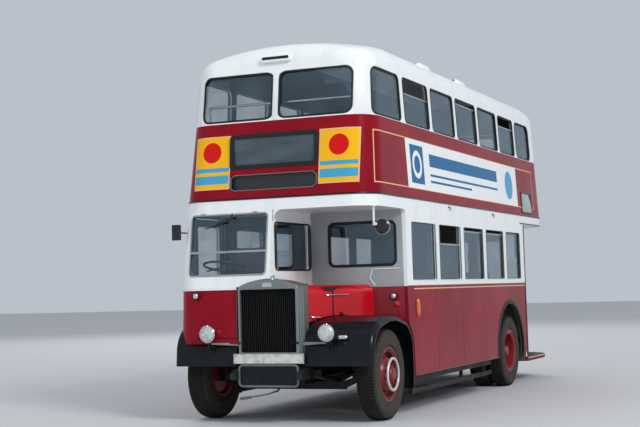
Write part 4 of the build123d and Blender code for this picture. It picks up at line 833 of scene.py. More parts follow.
def loose_boxes(node):
    """The boxes (low corner, high corner) of the separate solids in a CAD node."""
    mesh = nodes[node].data
    place = nodes[node].matrix_world
    points = [tuple(round(part, 5) for part in place @ vertex.co) for vertex in mesh.vertices]
    leader = {}

    def find(point):
        while leader.setdefault(point, point) != point:
            leader[point] = leader[leader[point]]
            point = leader[point]
        return point

    for face in mesh.polygons:
        first = find(points[face.vertices[0]])
        for index in face.vertices[1:]:
            leader[find(points[index])] = first
    groups = {}
    for point in set(points):
        groups.setdefault(find(point), []).append(point)
    boxes = [(Vector(map(min, zip(*group))), Vector(map(max, zip(*group)))) for group in groups.values()]
    return sorted(boxes, key=lambda box: tuple(box[0]))


def around(skin, z, lift=0.0):
    """Points right round a deck's outside at one height."""
    half, front = skin_at(skin, z)
    half += lift
    corners = ((half - CORNER_R, front - lift + CORNER_R, CORNER_R, -90),
               (half - REAR_CORNER_R, REAR_Y + lift - REAR_CORNER_R, REAR_CORNER_R, 0))
    points = []
    for x, y, radius, first in corners:
        for k in range(13):
            angle = math.radians(first + 90 * k / 12)
            points.append((x + radius * math.cos(angle), y + radius * math.sin(angle), z))
    return points + [(-x, y, z) for x, y, z in reversed(points)]


def along_side(skin, z, side, y0, y1, lift=0.0):
    """Points along one side of a deck at one height, taking in its corners."""
    steps = max(2, round((y1 - y0) / 0.04))
    places = [y0 + (y1 - y0) * k / steps for k in range(steps + 1)]
    return [(side * (side_x(skin, y, z) + lift), y, z) for y in places]


def span(first, last, step):
    """Values between first and last at even steps, without those two."""
    count = max(1, round((last - first) / step))
    return [first + (last - first) * k / count for k in range(1, count)]


# Where pieces that lie on round corners are cut across so that they bend
CUTS = {"front": span(0.80, 1.10, 0.03) + span(-1.10, -0.80, 0.03),
        "side": span(station(-0.55), station(0.0), 0.03) + span(REAR_Y - 0.52, REAR_Y, 0.03),
        "cab": span(-1.16, -0.88, 0.03)}
# How deep a window's rubber reaches in behind its panel
REVEAL = -0.020
# A height between the panes of the two decks, and a length between those of the ends and the sides
UPPER_DECK_Z = 3
LONG_PANE = 0.3


def side_windows(sides):
    """The windows of both sides: rubbers above, and pans, dark strips and rings of painted shade in the
    reveals, and drop lights below.
    """
    heads = [max(high.z for low, high in sides if (low.z > UPPER_DECK_Z) == upper)
             for upper in (False, True)]
    rubbers = []
    covers = []
    pans = []
    shade_strips = []
    reveal_shade_rings = []
    rails = []
    for low, high in sides:
        side = 1 if low.x > 0 else -1
        upper = low.z > UPPER_DECK_Z
        rule = on_side(UPPER_SKIN if upper else LOWER_SKIN, side)
        u = (low.y, high.y)
        v = (low.z, heads[upper])
        if upper and low.y < station(0):
            rubber, cover = quarter_window(side, high.y, v)
            rubbers.append(rubber)
            covers.append(cover)
        elif upper:
            rear = low.y > PLATFORM_Y - 0.1
            radius, cuts = (0.110, CUTS["side"]) if rear else (0.055, ())
            rubbers.append(ring(u, v, radius, 0.009, 0.010, REVEAL, 0.004, rule, cuts))
        else:
            wide = (u[0] - 0.040, u[1] + 0.040)
            tall = (v[0] - 0.001, v[1] + 0.001)
            pans.append(ring(wide, v, 0.020, 0.003, 0.010, -0.002, 0.004, rule))
            # Dark glass strips at both ends of each lower pane: painted shade of the reveals.
            for strip in ((wide[0], u[0] + 0.001), (u[1] - 0.001, wide[1])):
                shade_strips.append(plate(strip, tall, 0.004, -0.002, 0.0015, rule, (), 0.0005))
            # A dark ring set back at the glass: painted shade inside the reveal.
            reveal_shade_rings.append(ring(u, v, 0.035, 0.009, 0.000, -0.024, -0.012, rule, (), 0.001))
        if v[1] - high.z > 0.02:
            rails.append(block(u, (high.z - 0.012, high.z + 0.010), (-0.034, -0.008), 0.003, rule))
            for end in u:
                rails.append(block((end - 0.010, end + 0.010), v, (-0.034, -0.022), 0.003, rule))
        elif not upper and side > 0 and low.y > station(2.5) and high.y < station(4.6):
            rails.append(block(u, (1.900, 1.914), (-0.016, -0.008), 0.003, rule))
    joined("upper_side_rubbers", rubbers, "rubber")
    front = on_front(UPPER_SKIN)
    covers.append(plate((-0.036, 0.036), (3.425, 3.995), 0.004, 0.000, 0.004, front, (), 0.001))
    joined("front_corner_panels", covers, "white")
    # A near-black plate in the roof scoop's mouth: painted shade of the opening.
    mouth = facing_front(station(-0.344))
    slot = plate((-0.160, 0.160), (4.136, 4.160), 0.008, 0.0, 0.002, mouth, (), 0.0005)
    joined("scoop_mouth_shade", [slot], "slats")
    joined("lower_window_pans", pans, "white")
    joined("lower_window_shade_strips", shade_strips, "painted_shade_glass")
    joined("lower_window_reveal_shade_rings", reveal_shade_rings, "rubber")
    joined("drop_light_rails", rails, "alloy")


def window_frames():
    """Rubbers and frames round every window, placed by the boxes of its panes."""
    panes = loose_boxes("window_glass")
    side_windows([(low, high) for low, high in panes
                  if high.y - low.y > LONG_PANE and max(-low.x, high.x) > 1.0])
    rubbers = []
    for low, high in panes:
        u = (low.x, high.x)
        v = (low.z, high.z)
        if high.y - low.y > LONG_PANE:
            if abs(low.x) < 0.1:
                cab_window((low.y, high.y), v)
        elif low.y < station(0) and low.z > UPPER_DECK_Z:
            u = (max(u[0], 0.042), u[1]) if u[0] > 0 else (u[0], min(u[1], -0.042))
            front = on_front(UPPER_SKIN)
            rubbers.append(ring(u, v, 0.086, 0.014, 0.009, REVEAL, 0.005, front, CUTS["front"]))
        elif low.y < station(0):
            windscreen(u, v)
        elif low.y < station(1):
            rubbers.append(ring(u, v, 0.060, 0.014, 0.020, REVEAL, 0.006, facing_front(BULKHEAD_Y)))
        else:
            wall = facing_rear(REAR_Y if low.y > station(6.5) else PLATFORM_Y)
            rubbers.append(ring(u, v, 0.060, 0.010, 0.016, REVEAL, 0.005, wall))
    joined("end_window_rubbers", rubbers, "rubber")
    low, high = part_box("emergency_door_glass")
    rear = facing_rear(REAR_Y)
    rubber = ring((low[0], high[0]), (low[2], high[2]), 0.050, 0.010, 0.016, REVEAL, 0.004, rear)
    joined("emergency_door_rubber", [rubber], "rubber", "escape_door")
    low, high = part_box("cab_door_glass")
    door = on_side(CAB_SKIN, -1, CAB_CORNER_R)
    alloy = ring((low[1], high[1]), (low[2], high[2]), 0.050, 0.010, 0.016, -0.016, 0.004, door)
    joined("cab_door_window_frame", [alloy], "alloy", "driver_door")


def quarter_window(side, rear_end, v):
    """The rubber of a corner window, with the front's lean at its front edge, and the panel ahead of it."""
    corner = round_corner(UPPER_SKIN, side)
    bend = CORNER_R * math.pi / 2
    first = 0.374
    corner_reach = 0.106
    length = rear_end - station(-0.17)

    def leaning(u, v, w):
        last = bend + rear_end - skin_at(UPPER_SKIN, v)[1] - CORNER_R
        return corner(first + u / length * (last - first), v, w)

    flat = rounded((-0.010, length + 0.010), (v[0] - 0.010, v[1] + 0.010), 0.085, 0.019,
                   [0.04 * k * length for k in range(1, 25)])
    rubber = thick(flat, REVEAL, 0.004, 0.003, leaning)
    foot = v[0] - 0.016
    head = v[1] + 0.016
    panel = [plate((0.150, first + 0.004), (foot, head), 0.004, -0.001, 0.003, corner,
                   span(0.150, first, 0.03), 0.001)]
    for end, way in ((foot, 1), (head, -1)):
        def wedge(along, on_arc, end=end, way=way):
            """The bit of panel between the square corner and its quarter circle."""
            turn = math.pi / 2 * along
            reach = corner_reach * on_arc
            return reach * (1 - math.sin(turn)), end + way * reach * (1 - math.cos(turn))

        panel.append(thick(sheet(8, wedge), -0.001, 0.003, 0.0, lambda u, v, w: corner(first + u, v, w)))
    return rubber, merged(panel)


def cab_window(u, v):
    """The wide window in the cab's nearside, with dark glass strips at both ends of the pane, painted as the
    shade inside the cab.
    """
    rule = facing_side(0.0, 1)
    wide = (station(-0.485), station(0.520))
    rubber = ring(wide, v, 0.060, 0.008, 0.012, -0.016, 0.005, rule)
    joined("cab_near_window_rubber", [rubber], "rubber")
    # Dark glass strips: painted shade of the cab's inside seen through the pane.
    shade_strips = [plate(strip, v, 0.030, -0.004, 0.0015, rule, (), 0.0005)
               for strip in ((wide[0] - 0.004, u[0] + 0.004), (u[1] - 0.004, wide[1] + 0.004))]
    joined("cab_near_window_shade_strips", shade_strips, "painted_shade_glass")


def windscreen(u, v):
    """The driver's two-part screen: a bright frame, a bar across it, hinges and a wiper."""
    rule = on_front(CAB_SKIN, CAB_CORNER_R)
    cuts = CUTS["cab"]
    parts = [ring(u, v, 0.045, 0.009, 0.010, -0.018, 0.007, rule, cuts)]
    bar = rounded((u[0] + 0.006, u[1] - 0.006), (1.918, 1.944), 0.004, None, cuts, 2)
    parts.append(thick(bar, -0.016, 0.006, 0.002, rule))
    above = (v[1] + 0.002, v[1] + 0.022)
    for x in (u[0] + 0.16, u[1] - 0.16):
        parts.append(block((x - 0.030, x + 0.030), above, (-0.004, 0.012), 0.004, rule))
    joined("windscreen_frame", parts, "alloy")
    pivot = (-0.494, 2.335)
    outline = [(0.0, 0.0), (0.0, 0.026), (0.012, 0.026), (0.018, 0.020), (0.026, 0.010), (0.026, 0.0)]
    motor = turned(outline, 16, lambda a, b, w: rule(pivot[0] + a, pivot[1] + b, w + 0.002))
    arm = tube([rule(*pivot, 0.022), rule(-0.700, 2.245, 0.018)], 0.004)
    blade = tube([rule(-0.560, 2.282, 0.010), rule(-0.845, 2.205, 0.010)], 0.006)
    joined("wiper", [motor, arm, blade], "black")


def beads():
    """The dark bead between the decks, the crimson beads at the waist and skirt, and the drip strip."""
    joined("deck_bead", [tube(around(LOWER_SKIN, WAIST_Z, 0.001), 0.011, True)], "bead")
    waist = [tube(along_side(LOWER_SKIN, RED_TOP, 1, BULKHEAD_Y + 0.004, PLATFORM_Y - 0.004), 0.007)]
    rear = along_side(LOWER_SKIN, RED_TOP, -1, BULKHEAD_Y - 0.055, REAR_Y)
    waist.append(tube(rear + [(-0.2, REAR_Y, RED_TOP), (0.515, REAR_Y, RED_TOP)], 0.007))
    front = [(x, front_y(CAB_LOW_SKIN, x, RED_TOP, CAB_CORNER_R), RED_TOP)
             for x in [-0.385, -0.60, -0.85] + span(-0.90, -1.205, -0.02)]
    side = [(-side_x(CAB_LOW_SKIN, y, RED_TOP, CAB_CORNER_R), y, RED_TOP)
            for y in span(station(-0.60), station(-0.22), 0.03)]
    waist.append(tube(front + side, 0.007))
    joined("waist_beads", waist, "crimson")
    door = [(-side_x(CAB_LOW_SKIN, y, RED_TOP), y, RED_TOP) for y in (station(-0.205), station(0.460))]
    joined("cab_door_bead", [tube(door, 0.007)], "crimson", "driver_door")
    drip = along_side(LOWER_SKIN, 2.404, 1, PLATFORM_Y - 0.18, REAR_Y - 0.35)
    joined("platform_drip_strip", [tube(drip, 0.010)], "bead")
    skirt = [tube(along_side(LOWER_SKIN, 0.448, side, first, last), 0.008) for side in SIDES.values()
             for first, last in ((station(0.715), REAR_AXLE - 0.70), (REAR_AXLE + 0.70, PLATFORM_Y - 0.01))]
    joined("skirt_beads", skirt, "crimson")


def cover_strips():
    """Narrow upright cover strips on the joints of the lower panels, and the platform pillar's dark edge."""
    strips = [block((station(y) - 0.011, station(y) + 0.011), (0.46, LINING_Z - 0.02), (-0.002, 0.0016),
                    0.0008, on_side(LOWER_SKIN, side))
              for side in SIDES.values() for y in (1.61, 2.66, 3.71, 5.86)]
    joined("panel_cover_strips", strips, "coachwork")
    edge = [(side_x(LOWER_SKIN, PLATFORM_Y, z) - 0.004, PLATFORM_Y + 0.003, z)
            for z in (0.42, 1.0, 1.6, 2.2, 2.385)]
    joined("platform_pillar_edge", [tube(edge, 0.014)], "rubber")


def arch_bands():
    """The dark rubber edge round each rear wheel arch."""
    radius = 0.690
    drop = math.asin((AXLE_Z - 0.445) / radius)

    def band(along, out):
        angle = math.pi + drop - (math.pi + 2 * drop) * along
        reach = radius - 0.004 + 0.058 * out
        return REAR_AXLE + reach * math.cos(angle), AXLE_Z + reach * math.sin(angle)

    made = [thick(sheet(40, band), -0.030, 0.006, 0.003, on_side(LOWER_SKIN, side))
            for side in SIDES.values()]
    joined("rear_arch_edges", made, "rubber")


def blind_frames():
    """Frames with round corners in front of the two destination boxes."""
    rule = on_front(UPPER_SKIN)
    foot = 2.888
    upper = ring((-0.540, 0.540), (foot, 3.260), 0.034, 0.034, 0.014, -0.010, 0.007,
                 lambda u, v, w: rule(u, v, w + 0.05 * (v - foot)), (), 0.004)
    joined("upper_blind_frame", [upper], "rubber")
    lower = ring((-0.543, 0.543), (2.626, 2.806), 0.070, 0.008, 0.004, -0.010, 0.004, rule, (), 0.002)
    joined("lower_blind_frame", [lower], "rim")


def radiator_trim():
    """The radiator's cap and bare badge plate, its flutes and bolts, and what sits on the boards below."""
    y = RADIATOR_Y
    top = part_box("radiator_shell")[1][2]

    def milled(along, radius, column):
        return along, radius - 0.003 * (0.02 < along < 0.045) * (column % 2)

    cap = turned([(-0.012, 0.0), (-0.012, 0.034), (0.006, 0.036), (0.010, 0.026), (0.020, 0.026),
                  (0.024, 0.040), (0.040, 0.040), (0.048, 0.030), (0.052, 0.0)], 24,
                 standing((0, y + 0.13, top - 0.004), "up"), milled)
    badge = plate((-0.060, 0.060), (1.520, 1.570), 0.020, -0.002, 0.006, facing_front(y), (), 0.002)
    joined("radiator_cap_and_badge_plate", [cap, badge], "chrome")
    flutes = [tube([(side * 0.3725, y + step, z) for z in (0.715, 1.10, 1.515)], 0.009)
              for side in SIDES.values() for step in (0.050, 0.095, 0.140)]
    edge = ring((-0.345, 0.345), (0.792, 1.500), 0.025, 0.003, 0.010, -0.006, 0.005, facing_front(y))
    joined("radiator_flutes", flutes + [edge], "radiator")
    outline = [(0.0, 0.0), (0.0, 0.017), (0.006, 0.017), (0.008, 0.011), (0.016, 0.010), (0.018, 0.0)]
    bolt = turned(outline, 12)
    places = ((-0.358, 0.900), (0.358, 0.900), (-0.355, 0.735), (0.355, 0.735))
    joined("radiator_bolts", copied(bolt, [standing((x, y, z), "front") for x, z in places]), "black")
    board_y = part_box("front_boards")[0][1]
    rim = rounded((-0.372, 0.372), (0.412, 0.668), 0.055, 0.024)
    joined("plate_rim", [thick(rim, -0.004, 0.010, 0.005, facing_front(board_y + 0.007))], "rim")
    face = facing_front(board_y)
    edges = ring((-0.428, 0.428), (0.672, 0.785), 0.010, 0.004, -0.0005, -0.014, 0.003, face, (), 0.001)
    screw = turned([(0.0, 0.0), (0.0, 0.007), (0.003, 0.005), (0.003, 0.0)], 10)
    rules = [standing((x, board_y, z), "front") for x in (-0.40, 0.40) for z in (0.695, 0.762)]
    joined("slip_board_edge", [edges] + copied(screw, rules), "rim")
    path = ((-0.33, -0.775, 0.288), (-0.29, -0.780, 0.292), (0.02, -0.780, 0.345), (0.05, -0.770, 0.355),
            (0.05, -0.60, 0.365), (0.05, -0.42, 0.440))
    handle = tube([(x, station(along), z) for x, along, z in path], 0.011)
    grip = tube([(-0.33, station(-0.775), 0.288), (-0.20, station(-0.780), 0.308)], 0.017)
    joined("starting_handle", [handle, grip], "rim")


def headlamp(side, name):
    """One headlamp: bright bowl, bead and fluted lens, on a dark stem, with its tapered stay."""
    x = side * 0.728
    y = station(-0.793)
    z = 1.007
    at = standing((x, y, z), "front")

    def fluted(along, radius, column):
        return along + 0.0012 * (column % 3 == 0) * (0.02 < radius < 0.08), radius

    bowl = turned([(-0.118, 0.0), (-0.116, 0.020), (-0.104, 0.044), (-0.080, 0.066), (-0.050, 0.081),
                   (-0.020, 0.089), (-0.016, 0.095), (-0.006, 0.097), (0.000, 0.092), (-0.003, 0.084),
                   (-0.012, 0.083), (-0.012, 0.0)], 40, at)
    top = turned([(-0.002, 0.0), (-0.002, 0.010), (0.008, 0.009), (0.016, 0.004), (0.018, 0.0)], 12,
                 standing((x, y + 0.030, z + 0.088), "up"))
    joined("headlamp_bowl_" + name, [bowl, top], "chrome")
    lens = turned([(-0.014, 0.0), (-0.014, 0.084), (-0.004, 0.0835), (0.004, 0.076), (0.010, 0.058),
                   (0.014, 0.034), (0.015, 0.012), (0.015, 0.0)], 72, at, fluted)
    joined("headlamp_lens_" + name, [lens], "lens")
    stem = tube([(x, y + 0.045, z - 0.075), (x, y + 0.050, z - 0.120), (x, y + 0.075, z - 0.165),
                 (x, y + 0.125, z - 0.195)], 0.016)
    foot = turned([(-0.006, 0.0), (-0.006, 0.040), (0.004, 0.038), (0.010, 0.022), (0.014, 0.0)], 20,
                  standing((x, station(-0.668), z - 0.200), "front"))
    collar = turned([(0.0, 0.0), (0.0, 0.022), (0.022, 0.026), (0.030, 0.020), (0.030, 0.0)], 20,
                    standing((x, y + 0.045, z - 0.112), "up"))
    joined("headlamp_stem_" + name, [stem, foot, collar], "wing", "root", 40,
           ("headlamps",) if side > 0 else ())
    stay = block((0.0, 1.0), (-0.5, 0.5), (-0.5, 0.5), 0.08, lambda a, b, w: (
        side * (0.375 + 0.330 * a), station(-0.660) - 0.075 * a + w * 0.010,
        0.888 + 0.010 * a + b * (0.040 - 0.024 * a)))
    joined("headlamp_stay_" + name, [stay], "radiator")


def small_lamps():
    """Side lamps, rear lamps, the red reflector, the flashers and the little bright lamp on the wing."""
    places = ((1.045, station(0.505), 1.378), (-0.900, station(-0.715), 1.437))
    bullet = turned([(-0.060, 0.0), (-0.056, 0.012), (-0.040, 0.024), (-0.015, 0.031), (0.0, 0.033),
                     (0.004, 0.030), (0.010, 0.024), (0.014, 0.012), (0.015, 0.0)], 24)
    shells = copied(bullet, [standing(place, "front", 1.25) for place in places])
    shells.append(tube([(1.045, station(0.500), 1.342), (1.045, station(0.545), 1.336)], 0.010))
    shells.append(tube([(-0.900, station(-0.715), 1.402), (-0.900, station(-0.660), 1.396)], 0.010))
    rim = turned([(-0.002, 0.036), (0.0, 0.042), (0.008, 0.042), (0.010, 0.036), (0.004, 0.034),
                  (-0.002, 0.036)], 24)
    shells += copied(rim, [standing(place, "front") for place in places])
    joined("side_lamp_shells", shells, "black")
    capsule = turned([(-0.058, 0.0), (-0.056, 0.010), (-0.048, 0.020), (-0.036, 0.024), (0.036, 0.024),
                      (0.048, 0.020), (0.056, 0.010), (0.058, 0.0)], 24,
                     standing((0.876, station(-0.672), 0.955), "side"))
    bracket = tube([(0.876, station(-0.660), 0.948), (0.876, station(-0.610), 0.930)], 0.012)
    joined("wing_lamp", [capsule, bracket], "chrome")
    flasher = turned([(-0.004, 0.0), (-0.004, 1.0), (0.012, 1.0), (0.024, 0.80), (0.030, 0.45),
                      (0.032, 0.0)], 28)
    flashers = copied(flasher, [lambda a, b, w, wall=on_side(LOWER_SKIN, side): wall(
        station(0.862) + 0.033 * a, 1.234 + 0.112 * b, w) for side in SIDES.values()])
    joined("side_flashers", flashers, "orange")
    lens = turned([(0.004, 0.0), (0.004, 0.034), (0.014, 0.028), (0.021, 0.014), (0.023, 0.0)], 20)
    joined("side_lamp_lenses", copied(lens, [standing(place, "front") for place in places]), "lens")
    reflector = turned([(-0.003, 0.0), (-0.003, 0.036), (0.006, 0.036), (0.008, 0.030), (0.011, 0.0)], 24,
                       standing((1.071, BULKHEAD_Y, 1.285), "front"))
    lamp = turned([(-0.004, 0.0), (-0.004, 0.045), (0.016, 0.045), (0.022, 0.036), (0.026, 0.0)], 28)
    lamps = copied(lamp, [standing((x, rear_y(x), 1.05), "rear") for x in (-0.86, 0.42)])
    joined("red_lamps", [reflector] + lamps, "reflector")
    rear = facing_rear(REAR_Y)
    box = ring((-0.36, 0.16), (0.86, 0.98), 0.010, 0.010, 0.008, -0.004, 0.016, rear)
    panel = plate((-0.355, 0.155), (0.865, 0.975), 0.008, -0.004, 0.006, rear, (), 0.001)
    joined("rear_plate", [box, panel], "black")


def rear_y(x):
    """Y of the outside at the rear for a distance from the middle."""
    into = abs(x) - (skin_at(LOWER_SKIN, 1.0)[0] - REAR_CORNER_R)
    return REAR_Y - REAR_CORNER_R + math.sqrt(REAR_CORNER_R ** 2 - max(into, 0) ** 2)


TYRE_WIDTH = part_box("tyre_front_nearside")[1][0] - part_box("tyre_front_nearside")[0][0]
TREAD_PITCHES = 84
NUT = [(0.0, 0.0), (0.0, 0.0165), (0.016, 0.0165), (0.019, 0.012), (0.030, 0.010), (0.032, 0.0)]
# Turned outlines, as distance outboard of the rim's flange against radius
FLANGE = [(-0.012, 0.254), (-0.010, 0.296), (-0.004, 0.306), (0.003, 0.307), (0.006, 0.300), (0.002, 0.286)]
FRONT_DISH = [(-0.020, 0.272), (-0.075, 0.254), (-0.092, 0.240), (-0.090, 0.222), (-0.030, 0.188),
              (-0.006, 0.172), (0.004, 0.158), (0.006, 0.104), (0.016, 0.100), (0.020, 0.084),
              (0.046, 0.076), (0.062, 0.060), (0.068, 0.030), (0.069, 0.0)]
REAR_DISH = [(-0.030, 0.276), (-0.160, 0.262), (-0.182, 0.240), (-0.188, 0.215), (-0.186, 0.140),
             (-0.120, 0.112), (-0.100, 0.108), (-0.094, 0.086), (-0.050, 0.072), (-0.036, 0.060),
             (-0.034, 0.0)]
FRONT_FLANGE_X = 1.150
REAR_FLANGE_X = 1.186
REAR_INNER_X = 0.675
# The front wheels' hand holes, shown as black discs of painted shade: their circle, how far in it lies, and
# the slant of the dish there
HOLE_CIRCLE = 0.205
HOLE_DEPTH = 0.060
SLANT = (0.49, 0.87)


def tyre(outer, side, y):
    """One tyre: ribbed walls, shoulder lugs and four zigzag grooves."""
    width = TYRE_WIDTH
    wall = [(0.034, 0.2566), (0.030, 0.298), (0.018, 0.309), (0.008, 0.322), (0.0035, 0.334),
            (0.0060, 0.340), (0.0015, 0.362), (0.0005, 0.395), (0.0015, 0.425), (0.0070, 0.446),
            (0.0055, 0.452), (0.0110, 0.468), (0.0160, 0.480)]
    tread = [(0.022, 0.494), (0.032, 0.503), (0.050, 0.509), (0.062, TYRE_R)]
    for groove in (0.072, 0.104):
        tread += [(groove - 0.004, TYRE_R), (groove - 0.002, TYRE_R - 0.010),
                  (groove + 0.003, TYRE_R - 0.010), (groove + 0.005, TYRE_R)]
    half = wall + tread
    rows = half + [(width - along, radius) for along, radius in reversed(half)] + [half[0]]

    def cut(along, radius, column):
        from_edge = min(along, width - along)
        phase = column % 4
        if from_edge < 0.055 and radius > 0.479:
            radius -= 0.014 if phase in (0, 1) else 0.0
        if 0.06 < from_edge and radius > 0.49:
            along += (0.0, 0.004, 0.0, -0.004)[phase]
        return along, radius

    return turned(rows, 4 * TREAD_PITCHES, lambda a, b, w: (side * (outer - w), y + a, AXLE_Z + b), cut)


def pins(outline, count, radius, at, low):
    """A ring of six-sided nuts about the axle."""
    rules = []
    for k in range(count):
        angle = math.tau * (k + 0.5) / count
        rules.append(lambda a, b, w, across=radius * math.cos(angle), up=radius * math.sin(angle): at(
            across + a, up + b, w + low))
    return copied(turned(outline, 6), rules)


def tyres(name, side):
    """The three tyres of one side."""
    low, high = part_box("tyre_front_" + name)
    outer = max(abs(low[0]), abs(high[0]))
    joined("tyre_front_tread_" + name, [tyre(outer, side, FRONT_AXLE)], "tyre", "front_wheel_" + name, 35,
           ("tyre_front_" + name,))
    low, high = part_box("tyres_rear_" + name)
    outer = max(abs(low[0]), abs(high[0]))
    inner = min(abs(low[0]), abs(high[0])) + TYRE_WIDTH
    body = "rear_wheels_" + name
    joined("tyre_rear_outer_" + name, [tyre(outer, side, REAR_AXLE)], "tyre", body, 35,
           ("tyres_rear_" + name,))
    joined("tyre_rear_inner_" + name, [tyre(inner, side, REAR_AXLE)], "tyre", body, 35)


def front_wheel(name, side):
    """A front wheel: the dished disc with its hub and nuts, black discs painted as the shade in its hand
    holes, and the bright guard ring.
    """
    body = "front_wheel_" + name
    at = on_axle(side, FRONT_AXLE, FRONT_FLANGE_X)
    hub = [(-0.165, 0.0403), (-0.165, 0.205), (-0.075, 0.205), (-0.065, 0.222), (-0.211, 0.240),
           (-0.211, 0.254)]
    bore = [(-0.165, 0.0403), (0.017, 0.0403), (0.017, 0.0)]
    parts = [turned(hub + FLANGE + FRONT_DISH, 64, at), turned(bore, 64, at)]
    rules = []
    for k in range(8):
        turn = math.tau * (k + 0.5) / 8

        def slanted(a, b, w, cosine=math.cos(turn), sine=math.sin(turn)):
            reach = HOLE_CIRCLE - SLANT[0] * b + SLANT[1] * w
            depth = SLANT[1] * b + SLANT[0] * w - HOLE_DEPTH
            return at(reach * cosine - a * sine, reach * sine + a * cosine, depth)

        rules.append(slanted)
    # Black discs on the dish, painted as the shade inside the hand holes.
    hole_shade = turned([(0.001, 0.0), (0.001, 0.019), (-0.004, 0.021)], 20)
    joined("front_wheel_hole_shades_" + name, copied(hole_shade, rules), "black", body)
    parts += pins(NUT, 10, 0.132, at, 0.004)
    joined("front_wheel_" + name + "_disc", parts, "wheel", body, 40, ("wheel_front_" + name,))
    angles = [math.tau * k / 12 for k in range(13)]
    guard = [(0.046 + 0.016 * math.sin(angle), 0.176 + 0.017 * math.cos(angle)) for angle in angles]
    joined("nut_guard_ring_" + name, [turned(guard, 64, at)], "guard", body)


def rear_wheel(name, side):
    """A pair of rear wheels as one deep dish, with its hub and nuts."""
    at = on_axle(side, REAR_AXLE, REAR_FLANGE_X)
    inner = REAR_INNER_X - REAR_FLANGE_X
    hub = [(inner + 0.040, 0.0453), (inner + 0.040, 0.215), (inner + 0.180, 0.215), (inner + 0.190, 0.222),
           (inner + 0.012, 0.240), (inner + 0.012, 0.254)]
    bore = [(inner + 0.040, 0.0453), (-0.0375, 0.0453), (-0.0375, 0.0)]
    parts = [turned(hub + FLANGE + REAR_DISH, 64, at), turned(bore, 64, at)]
    parts += pins(NUT, 10, 0.176, at, -0.188)
    parts += pins(NUT[:4] + [(0.019, 0.0)], 8, 0.096, at, -0.098)
    joined("rear_wheel_" + name + "_disc", parts, "wheel", "rear_wheels_" + name, 40,
           ("wheel_rear_" + name,))


def bonnet_trim():
    """The bonnet's dark upright seam, a dark patch painted as the shade in the dip of its top edge, its
    bright strip and catch, knob and hook.
    """
    low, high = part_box("bonnet")
    narrow, wide = 0.372, 0.790
    slope = (wide - narrow) / (high[1] - low[1])

    def on_bonnet(u, v, w):
        """Lays (u, v, height) on the bonnet's side, which widens rearwards."""
        return (narrow + slope * (u - low[1]) + w, u, v)

    seam = block((station(-0.087), station(-0.067)), (1.125, 1.500), (-0.004, 0.003), 0.001, on_bonnet)

    # A dark V-shaped patch below the dip in the bonnet's top edge: painted shade.
    def dip_shade(along, top):
        place = 2 * along - 1
        reach = 0.162 if place > 0 else 0.143
        return station(-0.118) + reach * place, 1.505 if top else 1.503 - 0.048 * (place == 0)

    joined("bonnet_seam_and_dip_shade", [seam, thick(sheet(2, dip_shade), -0.002, 0.002, 0.0, on_bonnet)], "bead", "bonnet_lid")
    ends = ((-0.165, 0.0), (-0.155, 0.014), (0.130, 0.014), (0.140, 0.0))
    strip = tube([on_bonnet(station(y), 1.412, w) for y, w in ends], 0.007)
    bends = ((-0.380, 1.168, 0.002), (-0.360, 1.168, 0.020), (-0.290, 1.163, 0.020), (-0.275, 1.163, 0.002))
    catch = tube([on_bonnet(station(y), z, w) for y, z, w in bends], 0.010)
    joined("bonnet_strip_and_catch", [strip, catch], "chrome", "bonnet_lid")
    knob = turned([(-0.004, 0.0), (-0.004, 0.016), (0.010, 0.014), (0.016, 0.020), (0.026, 0.018),
                   (0.030, 0.0)], 18, lambda a, b, w: on_bonnet(station(0.029) + a, 1.200 + b, w))
    bends = ((1.150, 0.004), (1.115, 0.016), (1.095, 0.004))
    hook = tube([on_bonnet(station(-0.355), z, w) for z, w in bends], 0.011)
    joined("bonnet_knob_and_hook", [knob, hook], "black", "bonnet_lid")


def mirrors():
    """The nearside mirror's bright edge, and its white arm with a flange and a knob."""
    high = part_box("mirrors")[1]
    y = station(-0.330)
    edge = turned([(-0.004, 0.080), (-0.004, 0.089), (0.006, 0.090), (0.010, 0.084), (0.010, 0.0),
                   (0.006, 0.0), (0.0, 0.0), (0.0, 0.080), (-0.004, 0.080)], 40,
                  standing((high[0] - 0.086, y + 0.030, CANOPY_Z - 0.232), "rear"))
    joined("nearside_mirror_edge", [edge], "chrome")
    arm = tube([(1.145, y, z) for z in (CANOPY_Z - 0.003, CANOPY_Z - 0.222)], 0.0125)
    flange = turned([(0.0, 0.0), (0.0, 0.030), (0.006, 0.028), (0.008, 0.0)], 20,
                    standing((1.145, y, CANOPY_Z), "down"))
    knob = turned([(-0.018, 0.0), (-0.014, 0.012), (0.0, 0.017), (0.014, 0.012), (0.018, 0.0)], 16,
                  standing((1.172, station(-0.345), CANOPY_Z - 0.205), "up"))
    joined("nearside_mirror_arm", [arm, flange, knob], "white")


def platform_trim():
    """The platform's bright nosing, and the grab rails at the doorway and beside it."""
    edge = along_side(LOWER_SKIN, PLATFORM_Z - 0.012, 1, PLATFORM_Y + 0.005, REAR_Y - 0.001)
    joined("platform_nosing", [tube(edge, 0.012)], "alloy")
    rails = []
    for x, near, out, foot, head in ((-0.36, 0.002, 0.045, 1.05, 1.78), (0.36, 0.002, 0.045, 1.05, 1.78),
                                     (1.10, 0.010, 0.055, 0.95, 1.48)):
        bends = ((near, foot), (out, foot + 0.03), (out, head - 0.03), (near, head))
        rails.append(tube([(x, PLATFORM_Y + off, z) for off, z in bends], 0.013, False, 3))
    joined("platform_grab_rails", rails, "alloy")


BACK_THICKNESS = 0.090


def pad_rule(low, high, back, depth):
    """A rule that lays a cushion flat, or upright and leaning back, in the box of its plain pad."""
    x = (low.x + high.x) / 2
    if not back:
        return lambda a, b, w: (x + a, low.y + depth / 2 + b, (low.z + high.z) / 2 + w)
    lean = max(high.y - low.y - BACK_THICKNESS, 0.0)
    front = low.y + BACK_THICKNESS / 2
    return lambda a, b, w: (x + a, front + lean * (b / depth + 0.5) - w, low.z + depth / 2 + b)


